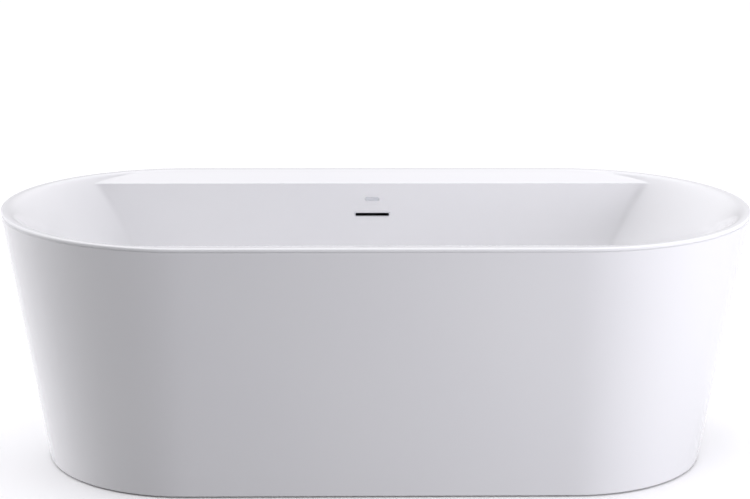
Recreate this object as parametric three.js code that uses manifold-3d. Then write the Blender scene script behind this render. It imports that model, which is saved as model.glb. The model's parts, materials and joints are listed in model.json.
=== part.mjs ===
// A double-walled acrylic freestanding bathtub: an oval rim, a tapered outer skirt, a deep inner basin with
// two sloping backrests, a slotted overflow, a push-to-open drain, and a steel frame on six levelling feet.
// Millimetres, +Z up. The origin is the centre of the footprint, on the floor the feet stand on.
// +X runs along the tub, and +Y points to the long side that holds the overflow.
import * as THREE from "three";
import { mergeVertices } from "three/addons/utils/BufferGeometryUtils.js";
import Module from "manifold-3d";

const wasm = await Module();
wasm.setup();

// ---------------------------------------------------------------- driving dimensions
const GAP = 0.3; // clearance between pieces that touch
const LAP = 1; // how far a cutter runs past the face that it cuts

const tub = { length: 1700, width: 800, height: 580, endRound: 420 };
const taper = { ends: 105, sides: 55 }; // how much narrower the skirt is at the floor, on each side
const skirt = { wall: 6, floorGap: 3 };
const rim = { width: 18, thickness: 8, edge: 4 };
const shoulder = { width: 77, drop: 16 }; // the sloping ledge between the rim and each long inner wall
const basin = {
  wall: 8,
  floorHeight: 140,
  sideLean: 30, // how much narrower the basin is at its floor, on each long side
  floorLength: 1090,
  endBow: 100, // how far the end of the floor bows out at its middle
  fillet: 62,
  fall: 5, // the floor's fall to the drain
  cornerPull: 14, // how far the corner between the long wall and the end is rounded off at the floor
  slope: 0.74, // exponent of the backrest: 1 is straight, less is laid back at the top
};
const bead = { height: 1.2 };
const board = { thickness: 15, length: 960, width: 430 };
const tube = { side: 30, wall: 2, overhang: 15 };
const railInset = 85; // from the long wall's foot to the rail's middle
const drainCrossOffset = 160; // cross members beside the drain
const outriggerOffset = 300;
const block = { length: 60, thickness: 20 };

const stud = { radius: 6, collar: 9, collarHeight: 8, neckIn: 1, ballOut: 0.8, top: 104 };
const pad = { radius: 25, height: 16, sole: 6, clearance: 0.4, lip: 3 };
const nut = { across: 19, height: 7 };
const boss = { wall: 4.7, height: 9.7 };
const footInset = 60;

const overflow = { depth: 90, slotLength: 79, slotHeight: 6, sleeve: 0.8, lip: 1.8, lipThickness: 0.9 };
const overflowBox = { margin: 12.5, height: 40, depth: 34, wall: 3, ear: 10, drop: 8 };
const overflowScrew = { radius: 2, head: 4, headHeight: 2.5 };
const badge = { length: 34, height: 8, thickness: 1, depth: 54 };
const nipple = { radius: 10, bore: 8, length: 22, x: 25, y: 28 };
const hose = { clearance: 1, wall: 3, sides: 10 };
const clamp = { thickness: 1.2, width: 9, housing: 9 };

const barrel = { radius: 23.5, wall: 3, clearance: 1.5, end: 92 };
const flangeLip = { width: 12, thickness: 2.5, clearance: 1.5 };
const recessDepth = 3;
const flangeSeal = { thickness: 1.4, inset: 1.5 };
const spider = { top: 116, bottom: 108, arm: 4, hub: 3 };
const stem = { radius: 4.2, bottom: 127, clearance: 0.4 };
const cartridge = { wall: 1.9, top: 133, seat: 119, thread: 4, end: 104 };
const spring = { coil: 3.5, wire: 0.45, turns: 5 };
const cap = { room: 3, rimHeight: 3, crown: 1.6, skirtWall: 2.5 };
const capSeal = { overlap: 1, thickness: 1.8, clearance: 0.8 };
const washer = { thickness: 4, width: 13 };
const boardClearance = 11; // between the drain washer and the base board's hole
const socket = { clearance: 0.5, wall: 5, flange: 4 };
const tail = { radius: 19, wall: 1.5, top: 60, bottom: 6, clearance: 0.6 };
const neck = { wall: 2.4, top: 78, end: 34 };
const port = { height: 66, yaw: 24, reach: 12, wall: 5 };
const slipNut = { clearance: 0.4, wall: 6.6, top: 46, bottom: 24, floor: 3.5 };

const ROUND = 20; // sides of a turned piece
const SMALL = 12; // sides of a small turned piece

// ---------------------------------------------------------------- derived levels
const halfLength = tub.length / 2;
const halfWidth = tub.width / 2;
const endCentre = halfLength - tub.endRound; // where each rounded end begins
const basinDepth = tub.height - basin.floorHeight;
const wallTop = halfWidth - rim.width - shoulder.width; // half-width at the top of the long inner wall
const wallFoot = wallTop - basin.sideLean;
const undersideZ = basin.floorHeight - basin.wall;
const boardTop = undersideZ - GAP;
const frameTop = boardTop - board.thickness - GAP;
const frameBottom = frameTop - tube.side;
const railY = wallFoot - railInset;
const railHalf = basin.floorLength / 2 + tube.overhang;
const lipUnderside = tub.height - rim.thickness;
const skirtTop = lipUnderside - bead.height - 2 * GAP;

// ---------------------------------------------------------------- derived fits
const studBall = stud.radius + stud.ballOut;
const padSocket = studBall + pad.clearance;
const bossRadius = stud.radius + GAP + boss.wall;
const boxLength = overflow.slotLength + 2 * overflowBox.margin;
const plateLength = boxLength + 2 * overflowBox.ear;
const hoseBore = nipple.radius + hose.clearance;
const hoseRadius = hoseBore + hose.wall;
const barrelBore = barrel.radius - barrel.wall;
const drainHole = barrel.radius + barrel.clearance;
const lipRadius = barrel.radius + flangeLip.width;
const recessRadius = lipRadius + flangeLip.clearance;
const sealRadius = lipRadius - flangeSeal.inset;
const capSealRadius = barrel.radius + capSeal.overlap;
const capInside = capSealRadius + cap.room;
const capRadius = capInside + cap.skirtWall;
const threadHole = cartridge.thread + GAP;
const cartridgeBore = stem.radius + stem.clearance;
const cartridgeRadius = cartridgeBore + cartridge.wall;
const socketRadius = barrel.radius + socket.clearance;
const washerRadius = socketRadius + washer.width;
const neckBore = tail.radius + tail.clearance;
const neckRadius = neckBore + neck.wall;
const portShoulder = neckRadius + port.reach;
const portRadius = nipple.radius + port.wall;

// ---------------------------------------------------------------- materials
const material = (color, roughness, metalness = 0) =>
  new THREE.MeshStandardMaterial({ color, roughness, metalness });
const acrylic = material(0xf4f4f6, 0.12);
const sealant = material(0xd9d9dc, 0.5);
const plywood = material(0xb08a5a, 0.8);
const galvanised = material(0x9aa0a6, 0.45, 0.9);
const zinc = material(0xb9bcc0, 0.35, 1);
const nylon = material(0x1d1d1f, 0.6);
const rubber = material(0x151515, 0.85);
const chrome = material(0xd8dadd, 0.08, 1);
const plastic = material(0x2b2c2e, 0.45);
const softPlastic = material(0xd5d6d8, 0.5);
const brass = material(0xb58b43, 0.3, 1);

// ---------------------------------------------------------------- solids and booleans
const part = new THREE.Group();

function place(name, geometry, finish, parent = part) {
  const mesh = new THREE.Mesh(geometry, finish);
  mesh.name = name;
  parent.add(mesh);
  return mesh;
}

// A geometry as a manifold-3d solid, welded by position.
function solid(geometry) {
  const bare = new THREE.BufferGeometry();
  bare.setAttribute("position", geometry.getAttribute("position"));
  bare.setIndex(geometry.index);
  const welded = mergeVertices(bare, 1e-4);
  return new wasm.Manifold(
    new wasm.Mesh({
      numProp: 3,
      vertProperties: new Float32Array(welded.attributes.position.array),
      triVerts: new Uint32Array(welded.index.array),
    }),
  );
}

function geometryOf(made) {
  const mesh = made.getMesh();
  const geometry = new THREE.BufferGeometry();
  geometry.setAttribute("position", new THREE.BufferAttribute(mesh.vertProperties, 3));
  geometry.setIndex(new THREE.BufferAttribute(mesh.triVerts, 1));
  return geometry;
}

const cut = (geometry, ...cutters) =>
  geometryOf(cutters.reduce((left, cutter) => left.subtract(solid(cutter)), solid(geometry)));
const join = (geometry, ...others) =>
  geometryOf(others.reduce((whole, other) => whole.add(solid(other)), solid(geometry)));

// A turned solid about Z from [radius, height] pairs, listed anticlockwise with the radius to the right.
function turned(profile, sides = ROUND) {
  const points = profile.map(([radius, height]) => new THREE.Vector2(radius, height));
  return new THREE.LatheGeometry(points, sides).rotateX(Math.PI / 2).rotateZ(Math.PI / sides);
}

const ring = (inner, outer, low, high, sides = ROUND) =>
  turned([[inner, low], [outer, low], [outer, high], [inner, high], [inner, low]], sides);
const rod = (radius, low, high, sides = ROUND) =>
  turned([[0, low], [radius, low], [radius, high], [0, high]], sides);
const bar = (x, y, z) => new THREE.BoxGeometry(x, y, z);

// A flat outline in X and Z, extruded from low to high along +Y.
function plate(shape, low, high) {
  const depth = high - low;
  const geometry = new THREE.ExtrudeGeometry(shape, { depth, bevelEnabled: false, curveSegments: 2 });
  return geometry.rotateX(Math.PI / 2).translate(0, high, 0);
}

// A rounded rectangle centred on the origin.
function rounded(length, height, radius) {
  const [x, y] = [length / 2, height / 2];
  const shape = new THREE.Shape();
  shape.moveTo(-x + radius, -y);
  shape.lineTo(x - radius, -y);
  shape.absarc(x - radius, -y + radius, radius, -Math.PI / 2, 0);
  shape.lineTo(x, y - radius);
  shape.absarc(x - radius, y - radius, radius, 0, Math.PI / 2);
  shape.lineTo(-x + radius, y);
  shape.absarc(-x + radius, y - radius, radius, Math.PI / 2, Math.PI);
  shape.lineTo(-x, -y + radius);
  shape.absarc(-x + radius, -y + radius, radius, Math.PI, 1.5 * Math.PI);
  return shape;
}

// ---------------------------------------------------------------- contours
// An oval has straight sides at +-across up to +-centre, then half ellipses that reach along further.
const oval = (along, across, centre = endCentre) => ({ centre, along, across });

function ovalSide(shape, x) {
  const past = Math.max(Math.abs(x) - shape.centre, 0) / shape.along;
  return shape.across * Math.sqrt(Math.max(1 - past ** 2, 0));
}

// Stations round a quarter: the end's arc up to the corner, the rest of the rim's arc, then the side.
const stations = { end: 8, shoulder: 4, side: 3 };
const QUARTER = stations.end + stations.shoulder + stations.side;
const CONTOUR = 4 * QUARTER;
// Where the long wall meets the end at the top.
const rimCorner = Math.asin(wallTop / (halfWidth - rim.width));

const sideShares = Array.from({ length: QUARTER - stations.end + 1 }, (_, k) => {
  const cornerX = endCentre + tub.endRound * Math.cos(rimCorner);
  if (k > stations.shoulder) return (endCentre * (1 - (k - stations.shoulder) / stations.side)) / cornerX;
  const angle = rimCorner + ((Math.PI / 2 - rimCorner) * k) / stations.shoulder;
  return (endCentre + tub.endRound * Math.cos(angle)) / cornerX;
});

// A contour at a height: an oval whose long sides are cut back to +-wall, meeting it at the corner angle.
function contour(shape, height, wall = Infinity, corner = rimCorner, soften = 0) {
  const cornerX = shape.centre + shape.along * Math.cos(corner);
  const quarter = Array.from({ length: QUARTER + 1 }, (_, k) => {
    const angle = (corner * k) / stations.end;
    const pull = k === stations.end ? soften : 0;
    if (k <= stations.end)
      return [shape.centre + shape.along * Math.cos(angle) - pull, shape.across * Math.sin(angle) - pull / 2];
    const x = cornerX * sideShares[k - stations.end];
    return [x, Math.min(wall, ovalSide(shape, x))];
  });
  const there = quarter.slice(0, -1);
  const back = quarter.slice(1).reverse();
  const loop = [
    ...there,
    ...back.map(([x, y]) => [-x, y]),
    ...there.map(([x, y]) => [-x, -y]),
    ...back.map(([x, y]) => [x, -y]),
  ];
  return loop.map(([x, y]) => [x, y, height]);
}

const outerOval = (height, inset = 0) => {
  const share = 1 - height / tub.height;
  return oval(tub.endRound - taper.ends * share - inset, halfWidth - taper.sides * share - inset);
};

// The basin's contour at a depth below the rim, grown by a wall thickness.
function basinContour(depth, grow, height) {
  const share = Math.min(depth / basinDepth, 1) ** basin.slope;
  const blend = (top, foot) => top + (foot - top) * share;
  const ratio = 1.5; // the floor's end is an arc of an ellipse this much wider than the floor
  const footAcross = wallFoot * ratio;
  const footAlong = basin.endBow / (1 - Math.sqrt(1 - 1 / ratio ** 2));
  const shape = oval(
    blend(tub.endRound - rim.width, footAlong) + grow,
    blend(halfWidth - rim.width, footAcross) + grow,
    blend(endCentre, basin.floorLength / 2 - footAlong),
  );
  const onShoulder = Math.min(depth / shoulder.drop, 1);
  const below = Math.min(Math.max(depth - shoulder.drop, 0) / (basinDepth - shoulder.drop), 1);
  const straight = wallTop - basin.sideLean * below + grow;
  const wall = straight + shoulder.width * (1 - onShoulder);
  const corner = Math.asin(Math.min(straight / shape.across, 1));
  return contour(shape, height, wall, corner, basin.cornerPull * below);
}

// A closed skin over a stack of contours; a one-point contour closes an end.
function skin(contours) {
  const points = [];
  const faces = [];
  const starts = contours.map((loop) => {
    const start = points.length / 3;
    loop.forEach((point) => points.push(...point));
    return start;
  });
  for (let k = 0; k + 1 < contours.length; k++)
    for (let i = 0; i < CONTOUR; i++) {
      const next = (i + 1) % CONTOUR;
      const [low, high] = [contours[k].length, contours[k + 1].length];
      const [a, b] = [starts[k] + (low > 1 ? i : 0), starts[k] + (low > 1 ? next : 0)];
      const [c, d] = [starts[k + 1] + (high > 1 ? next : 0), starts[k + 1] + (high > 1 ? i : 0)];
      if (low > 1) faces.push(a, b, c);
      if (high > 1) faces.push(a, c, d);
    }
  const geometry = new THREE.BufferGeometry();
  geometry.setAttribute("position", new THREE.Float32BufferAttribute(points, 3));
  geometry.setIndex(faces);
  return geometry;
}

// ---------------------------------------------------------------- the two shells
// The long wall's lean, and the middle of the overflow slot on the wall's inner face.
const wallLean = Math.atan(basin.sideLean / (basinDepth - shoulder.drop));
const wallAt = (depth) => wallTop - (depth - shoulder.drop) * Math.tan(wallLean);
const wallStation = (depth) => new THREE.Vector3(0, wallAt(depth), tub.height - depth);

function wallGroup(depth) {
  const group = new THREE.Group();
  group.position.copy(wallStation(depth));
  group.rotation.x = -wallLean;
  group.updateMatrixWorld(true);
  return group;
}

function makeBasin() {
  const top = tub.height;
  const filletSteps = 4;
  const backSteps = 3;
  const inner = [];
  const outer = [];
  // From the lip's outer edge, over the rim, down the inner wall.
  inner.push(contour(outerOval(top), lipUnderside));
  inner.push(contour(outerOval(top), top - rim.edge));
  inner.push(contour(outerOval(top, rim.edge * 0.3), top - rim.edge * 0.3));
  inner.push(contour(outerOval(top, rim.edge), top));
  inner.push(basinContour(0, rim.edge, top));
  const filletTop = basinDepth - basin.fillet;
  const wallDepths = [rim.edge * 0.7, shoulder.drop * 0.6, shoulder.drop, 45, 110, 200, 290];
  wallDepths.filter((depth) => depth < filletTop - LAP).forEach((depth) => {
    inner.push(basinContour(depth, 0, top - depth));
  });
  for (let k = 0; k <= filletSteps; k++) {
    const turn = (k / filletSteps) * (Math.PI / 2);
    const depth = filletTop + basin.fillet * Math.sin(turn);
    const inset = basin.fillet * (1 - Math.cos(turn));
    const rise = basin.fall * Math.sin(turn) ** 2;
    inner.push(basinContour(depth, -inset, top - depth + rise));
  }
  inner.push([[0, 0, basin.floorHeight]]);
  // The underside, from the drain outwards and up to the lip.
  outer.push([[0, 0, undersideZ]]);
  for (let k = backSteps; k >= 0; k--) {
    const turn = (k / backSteps) * (Math.PI / 2);
    const depth = filletTop + basin.fillet * Math.sin(turn);
    const drop = basin.wall * Math.sin(turn);
    const inset = basin.fillet * (1 - Math.cos(turn));
    outer.push(basinContour(depth, basin.wall - inset, top - depth - drop));
  }
  const backDepths = [200, 80];
  backDepths.filter((depth) => depth < filletTop - LAP).forEach((depth) => {
    outer.push(basinContour(depth, basin.wall, top - depth));
  });
  const ledges = [shoulder.drop, shoulder.drop * 0.6];
  ledges.forEach((depth) => outer.push(basinContour(depth, basin.wall, top - depth - basin.wall)));
  outer.push(contour(outerOval(top, skirt.wall + 2), lipUnderside));
  outer.push(inner[0]);
  const shell = skin([...inner, ...outer]);

  const hole = rod(drainHole, undersideZ - LAP, basin.floorHeight + LAP);
  const recess = rod(recessRadius, basin.floorHeight - recessDepth, basin.floorHeight + basin.fall + LAP);
  const slotRoom = 2 * (overflow.sleeve + GAP);
  const pastWall = 5; // how far the slot's cutter runs past each face of the wall
  const slot = plate(
    rounded(overflow.slotLength + slotRoom, overflow.slotHeight + slotRoom, 3),
    -pastWall,
    basin.wall + pastWall,
  );
  slot.applyMatrix4(wallGroup(overflow.depth).matrixWorld);
  place("inner_basin", cut(shell, hole, recess, slot), acrylic);
}

function makeSkirt() {
  const loops = [
    contour(outerOval(skirtTop, skirt.wall), skirtTop),
    contour(outerOval(skirt.floorGap, skirt.wall), skirt.floorGap),
    contour(outerOval(skirt.floorGap), skirt.floorGap),
    contour(outerOval(skirtTop), skirtTop),
  ];
  place("outer_skirt", skin([...loops, loops[0]]), acrylic);
  const low = skirtTop + GAP;
  const inset = 1;
  const beadLoops = [
    contour(outerOval(low, skirt.wall), low + bead.height),
    contour(outerOval(low, skirt.wall), low),
    contour(outerOval(low, inset), low),
    contour(outerOval(low, inset), low + bead.height),
  ];
  place("rim_bond_bead", skin([...beadLoops, beadLoops[0]]), sealant);
}

// ---------------------------------------------------------------- the frame under the basin
function makeBoard() {
  const middle = boardTop - board.thickness / 2;
  const sheet = bar(board.length, board.width, board.thickness).translate(0, 0, middle);
  const hole = rod(washerRadius + boardClearance, middle - board.thickness, middle + board.thickness);
  place("base_board", cut(sheet, hole), plywood);
}

// A square tube along X, open at both ends, centred on the frame's height.
function squareTube(length) {
  const inside = tube.side - 2 * tube.wall;
  return cut(bar(length, tube.side, tube.side), bar(length + 2 * LAP, inside, inside));
}
const crosswise = (length) => squareTube(length).rotateZ(Math.PI / 2);

const frameMiddle = (frameTop + frameBottom) / 2;
const footStations = [-(railHalf - footInset), 0, railHalf - footInset];

function makeFrame() {
  for (const [side, name] of [[-1, "front"], [1, "rear"]]) {
    const rail = squareTube(2 * railHalf).translate(0, 0, frameMiddle);
    const bossLow = frameBottom - boss.height;
    const bosses = footStations.map((x) =>
      rod(bossRadius, bossLow, frameBottom + tube.wall / 2, SMALL).translate(x, 0, 0));
    const bores = footStations.map((x) =>
      rod(stud.radius + GAP, bossLow - LAP, frameBottom + tube.wall + LAP, SMALL).translate(x, 0, 0));
    const welded = cut(join(rail, ...bosses), ...bores);
    place(`frame_rail_${name}`, welded.translate(0, side * railY, 0), galvanised);
  }
  const clear = railY - tube.side / 2 - GAP;
  const crosses = {
    left_end: -railHalf + tube.side / 2,
    left_of_drain: -drainCrossOffset,
    right_of_drain: drainCrossOffset,
    right_end: railHalf - tube.side / 2,
  };
  for (const [name, x] of Object.entries(crosses))
    place(`frame_cross_${name}`, crosswise(2 * clear).translate(x, 0, frameMiddle), galvanised);

  const near = railY + tube.side / 2 + GAP;
  const face = outerOval(frameBottom, skirt.wall).across - GAP; // the skirt's inner face, where it is closest
  const far = face - block.thickness - GAP;
  for (const [sx, left] of [[-1, "left"], [1, "right"]])
    for (const [sy, row] of [[-1, "front"], [1, "rear"]]) {
      const x = sx * outriggerOffset;
      const arm = crosswise(far - near).translate(x, (sy * (far + near)) / 2, frameMiddle);
      place(`outrigger_${row}_${left}`, arm, galvanised);
      const wedge = bar(block.length, block.thickness, tube.side);
      wedge.translate(x, sy * (face - block.thickness / 2), frameMiddle);
      place(`skirt_block_${row}_${left}`, wedge, plywood);
    }
}

// ---------------------------------------------------------------- levelling feet
const hexagon = (across, low, high) => rod(across / Math.sqrt(3), low, high, 6);

function makeFoot(number, x, y) {
  const group = new THREE.Group();
  group.position.set(x, y, 0);
  part.add(group);
  const base = turned([
    [0, 0], [pad.radius, 0], [pad.radius, 4], [padSocket + pad.lip + 2, 9],
    [padSocket + pad.lip, pad.height], [padSocket, pad.height], [padSocket, pad.sole], [0, pad.sole],
  ], 16);
  place(`foot_${number}_pad`, base, nylon, group);
  const collarLow = pad.height + 2;
  const throat = stud.radius - stud.neckIn;
  const screw = turned([
    [0, pad.sole + GAP], [studBall - stud.neckIn, pad.sole + GAP], [studBall, pad.sole + 2],
    [studBall, pad.height - 3], [throat, pad.height - 1], [throat, collarLow],
    [stud.radius, collarLow + 1], [stud.radius, stud.top - 1], [stud.radius - 1, stud.top], [0, stud.top],
  ], SMALL);
  const flats = hexagon(stud.collar * 2, collarLow, collarLow + stud.collarHeight);
  place(`foot_${number}_stud`, join(screw, flats), zinc, group);
  const nutTop = frameBottom - boss.height - GAP;
  const bore = rod(stud.radius + GAP, nutTop - nut.height - LAP, nutTop + LAP, SMALL);
  place(`foot_${number}_locknut`, cut(hexagon(nut.across, nutTop - nut.height, nutTop), bore), zinc, group);
}

function makeFeet() {
  let number = 1;
  for (const side of [-1, 1])
    for (const x of footStations) makeFoot(number++, x, side * railY);
}

// ---------------------------------------------------------------- overflow
function makeOverflow() {
  const group = wallGroup(overflow.depth);
  part.add(group);
  const opening = rounded(overflow.slotLength, overflow.slotHeight, 2.4);
  const around = 2 * overflow.sleeve;
  const sleeve = rounded(overflow.slotLength + around, overflow.slotHeight + around, 3);
  const lip = rounded(overflow.slotLength + 2 * (overflow.sleeve + overflow.lip),
    overflow.slotHeight + 2 * (overflow.sleeve + overflow.lip), 4);
  const trim = join(
    plate(lip, -GAP - overflow.lipThickness, -GAP),
    plate(sleeve, -GAP - overflow.lipThickness / 2, basin.wall - LAP),
  );
  place("overflow_trim", cut(trim, plate(opening, -LAP * 3, basin.wall + LAP)), chrome, group);

  const gasketBack = basin.wall + GAP + 2;
  const middle = -overflowBox.drop;
  const opened = rounded(overflow.slotLength + 8, overflow.slotHeight + 12, 4);
  const gasket = plate(rounded(boxLength, overflowBox.height, 6), basin.wall + GAP, gasketBack);
  const passage = plate(opened, basin.wall - LAP, gasketBack + LAP);
  place("overflow_gasket", cut(gasket.translate(0, 0, middle), passage), rubber, group);

  const front = gasketBack + GAP;
  const back = front + overflowBox.depth;
  const flange = plate(rounded(plateLength, overflowBox.height, 6), front, front + overflowBox.wall);
  const shell = plate(rounded(boxLength, overflowBox.height, 6), front, back);
  const cavity = plate(
    rounded(boxLength - 2 * overflowBox.wall, overflowBox.height - 2 * overflowBox.wall, 4),
    front - LAP, back - overflowBox.wall,
  );
  const boxBottom = middle - overflowBox.height / 2;
  const atNipple = (geometry) => geometry.translate(nipple.x, nipple.y, 0);
  const spoutEnd = boxBottom - nipple.length;
  const spout = atNipple(rod(nipple.radius, spoutEnd, boxBottom + overflowBox.wall / 2, 16));
  const bore = atNipple(rod(nipple.bore, spoutEnd - LAP, boxBottom + overflowBox.wall + LAP, 16));
  const screwX = (boxLength + plateLength) / 4 + 1;
  const holeRadius = overflowScrew.radius + GAP;
  const holeDepth = 4 * overflowBox.wall;
  const screwHole = (side) =>
    new THREE.CylinderGeometry(holeRadius, holeRadius, holeDepth, 12).translate(side * screwX, front, middle);
  const body = join(flange.translate(0, 0, middle), shell.translate(0, 0, middle), spout);
  const hollow = cavity.translate(0, 0, middle);
  place("overflow_box", cut(body, hollow, bore, screwHole(-1), screwHole(1)), plastic, group);

  for (const [side, name] of [[-1, "left"], [1, "right"]]) {
    const headLow = front + overflowBox.wall + GAP;
    const headTop = headLow + overflowScrew.headHeight;
    const screw = turned([
      [0, basin.wall + GAP], [overflowScrew.radius, basin.wall + GAP], [overflowScrew.radius, headLow],
      [overflowScrew.head, headLow], [overflowScrew.head, headLow + overflowScrew.headHeight * 0.6],
      [overflowScrew.head * 0.6, headTop], [0, headTop],
    ], 12).rotateX(-Math.PI / 2);
    place(`overflow_screw_${name}`, screw.translate(side * screwX, 0, middle), zinc, group);
  }

  const markGroup = wallGroup(badge.depth);
  part.add(markGroup);
  const pill = rounded(badge.length, badge.height, badge.height / 2 - 0.1);
  const mark = plate(pill, -GAP - badge.thickness, -GAP);
  place("plain_badge", mark, chrome, markGroup);

  const end = new THREE.Vector3(nipple.x, nipple.y, boxBottom - GAP);
  const away = new THREE.Vector3(0, 0, -1).transformDirection(group.matrixWorld);
  return { end: end.applyMatrix4(group.matrixWorld), away };
}

// ---------------------------------------------------------------- overflow hose
// A worm-drive clamp: a band round the hose with its screw housing on the outside.
function makeClamp(name, centre, axis) {
  const inner = hoseRadius + GAP;
  const outer = inner + clamp.thickness;
  const band = ring(inner, outer, -clamp.width / 2, clamp.width / 2, 16);
  const housing = bar(clamp.housing * 1.4, clamp.housing * 0.6, clamp.width);
  housing.translate(0, outer + clamp.housing * 0.2, 0);
  const clear = rod(inner, -clamp.width, clamp.width, 16);
  const mesh = place(name, cut(join(band, housing), clear), zinc);
  mesh.position.copy(centre);
  mesh.quaternion.setFromUnitVectors(new THREE.Vector3(0, 0, 1), axis);
}

function makeHose(from, portEnd, portAxis) {
  const belowRail = new THREE.Vector3(50, railY, port.height);
  const gapMiddle = (height) =>
    (wallAt(tub.height - height) + basin.wall + outerOval(height, skirt.wall).across) / 2;
  const along = (start, axis, length) => start.clone().addScaledVector(axis, length);
  const route = [
    from.end,
    along(from.end, from.away, nipple.length + 4),
    along(from.end, from.away, 2 * nipple.length),
    new THREE.Vector3(34, gapMiddle(330), 330),
    new THREE.Vector3(44, gapMiddle(220), 220),
    new THREE.Vector3(50, railY + 134, 130),
    new THREE.Vector3(52, railY + 98, 82),
    belowRail.clone().add(new THREE.Vector3(2, 46, 0.5)),
    belowRail,
    along(portEnd, portAxis, 2 * nipple.length),
    along(portEnd, portAxis, nipple.length + 4),
    portEnd,
  ];
  const section = new THREE.Shape().absarc(0, 0, hoseRadius, 0, 2 * Math.PI);
  section.holes.push(new THREE.Path().absarc(0, 0, hoseBore, 0, 2 * Math.PI));
  const path = new THREE.CatmullRomCurve3(route, false, "centripetal");
  const sweep = { steps: 26, curveSegments: hose.sides / 2, extrudePath: path };
  const line = new THREE.ExtrudeGeometry(section, sweep);
  place("overflow_hose", line, softPlastic);
  const upward = from.away.clone().negate();
  makeClamp("hose_clamp_upper", along(from.end, from.away, nipple.length / 2), upward);
  makeClamp("hose_clamp_lower", along(portEnd, portAxis, nipple.length / 2), portAxis);
}

// ---------------------------------------------------------------- drain
const recessFloor = basin.floorHeight - recessDepth;
const sealTop = recessFloor + GAP / 2 + flangeSeal.thickness;
const lipLow = sealTop + GAP / 2;
const lipTop = lipLow + flangeLip.thickness;
const capLow = lipTop + GAP + capSeal.thickness + GAP / 2;

function makeDrainFlange() {
  place("drain_flange_seal", ring(drainHole, sealRadius, recessFloor + GAP / 2, sealTop), rubber);
  const body = turned([
    [barrelBore, barrel.end], [barrel.radius, barrel.end], [barrel.radius, lipLow], [lipRadius, lipLow],
    [lipRadius, lipLow + 1], [lipRadius - 2, lipTop], [barrel.radius, lipTop], [barrelBore, lipLow - 1],
    [barrelBore, barrel.end],
  ]);
  const height = spider.top - spider.bottom;
  const reach = 2 * (barrelBore + 1);
  const arms = [0, 1].map((turn) => bar(reach, spider.arm, height)
    .rotateZ((turn * Math.PI) / 2).translate(0, 0, spider.bottom + height / 2));
  const hub = rod(threadHole + spider.hub, spider.bottom, spider.top, 16);
  const thread = rod(threadHole, spider.bottom - LAP, spider.top + LAP, 16);
  place("drain_flange", cut(join(body, ...arms, hub), thread), chrome);
}

function makeCartridge() {
  const low = spider.top + GAP;
  place("cartridge_body", turned([
    [0, cartridge.end], [cartridge.thread, cartridge.end], [cartridge.thread, low], [cartridgeRadius, low],
    [cartridgeRadius, cartridge.top], [cartridgeBore, cartridge.top], [cartridgeBore, cartridge.seat],
    [0, cartridge.seat],
  ], 16), brass);

  // The spring's ends stop short of the seat and of the stem by the clearance and half a wire.
  const coilLow = cartridge.seat + GAP + spring.wire;
  const high = stem.bottom - GAP - spring.wire;
  const steps = spring.turns * 8;
  const coil = Array.from({ length: steps + 1 }, (_, i) => {
    const turn = (2 * Math.PI * spring.turns * i) / steps;
    const height = coilLow + ((high - coilLow) * i) / steps;
    return new THREE.Vector3(spring.coil * Math.cos(turn), spring.coil * Math.sin(turn), height);
  });
  const wire = new THREE.Shape().absarc(0, 0, spring.wire, 0, 2 * Math.PI);
  place("cartridge_spring", new THREE.ExtrudeGeometry(wire, {
    steps, curveSegments: 3, extrudePath: new THREE.CatmullRomCurve3(coil),
  }), zinc);
}

function makePlug() {
  place("plug_stem", turned([
    [0, stem.bottom], [stem.radius, stem.bottom], [stem.radius, capLow - GAP], [0, capLow - GAP],
  ], 16), brass);
  const sealLow = lipTop + GAP;
  const seal = ring(stem.radius + capSeal.clearance, capSealRadius, sealLow, sealLow + capSeal.thickness);
  place("plug_seal", seal, rubber);
  const edgeLow = lipTop + GAP * 2;
  place("plug_cap", turned([
    [0, capLow], [capInside, capLow], [capInside, edgeLow], [capRadius, edgeLow],
    [capRadius, capLow + cap.rimHeight * 0.6],
    [capRadius - 1.5, capLow + cap.rimHeight], [0, capLow + cap.rimHeight + cap.crown],
  ]), chrome);
}

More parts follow.
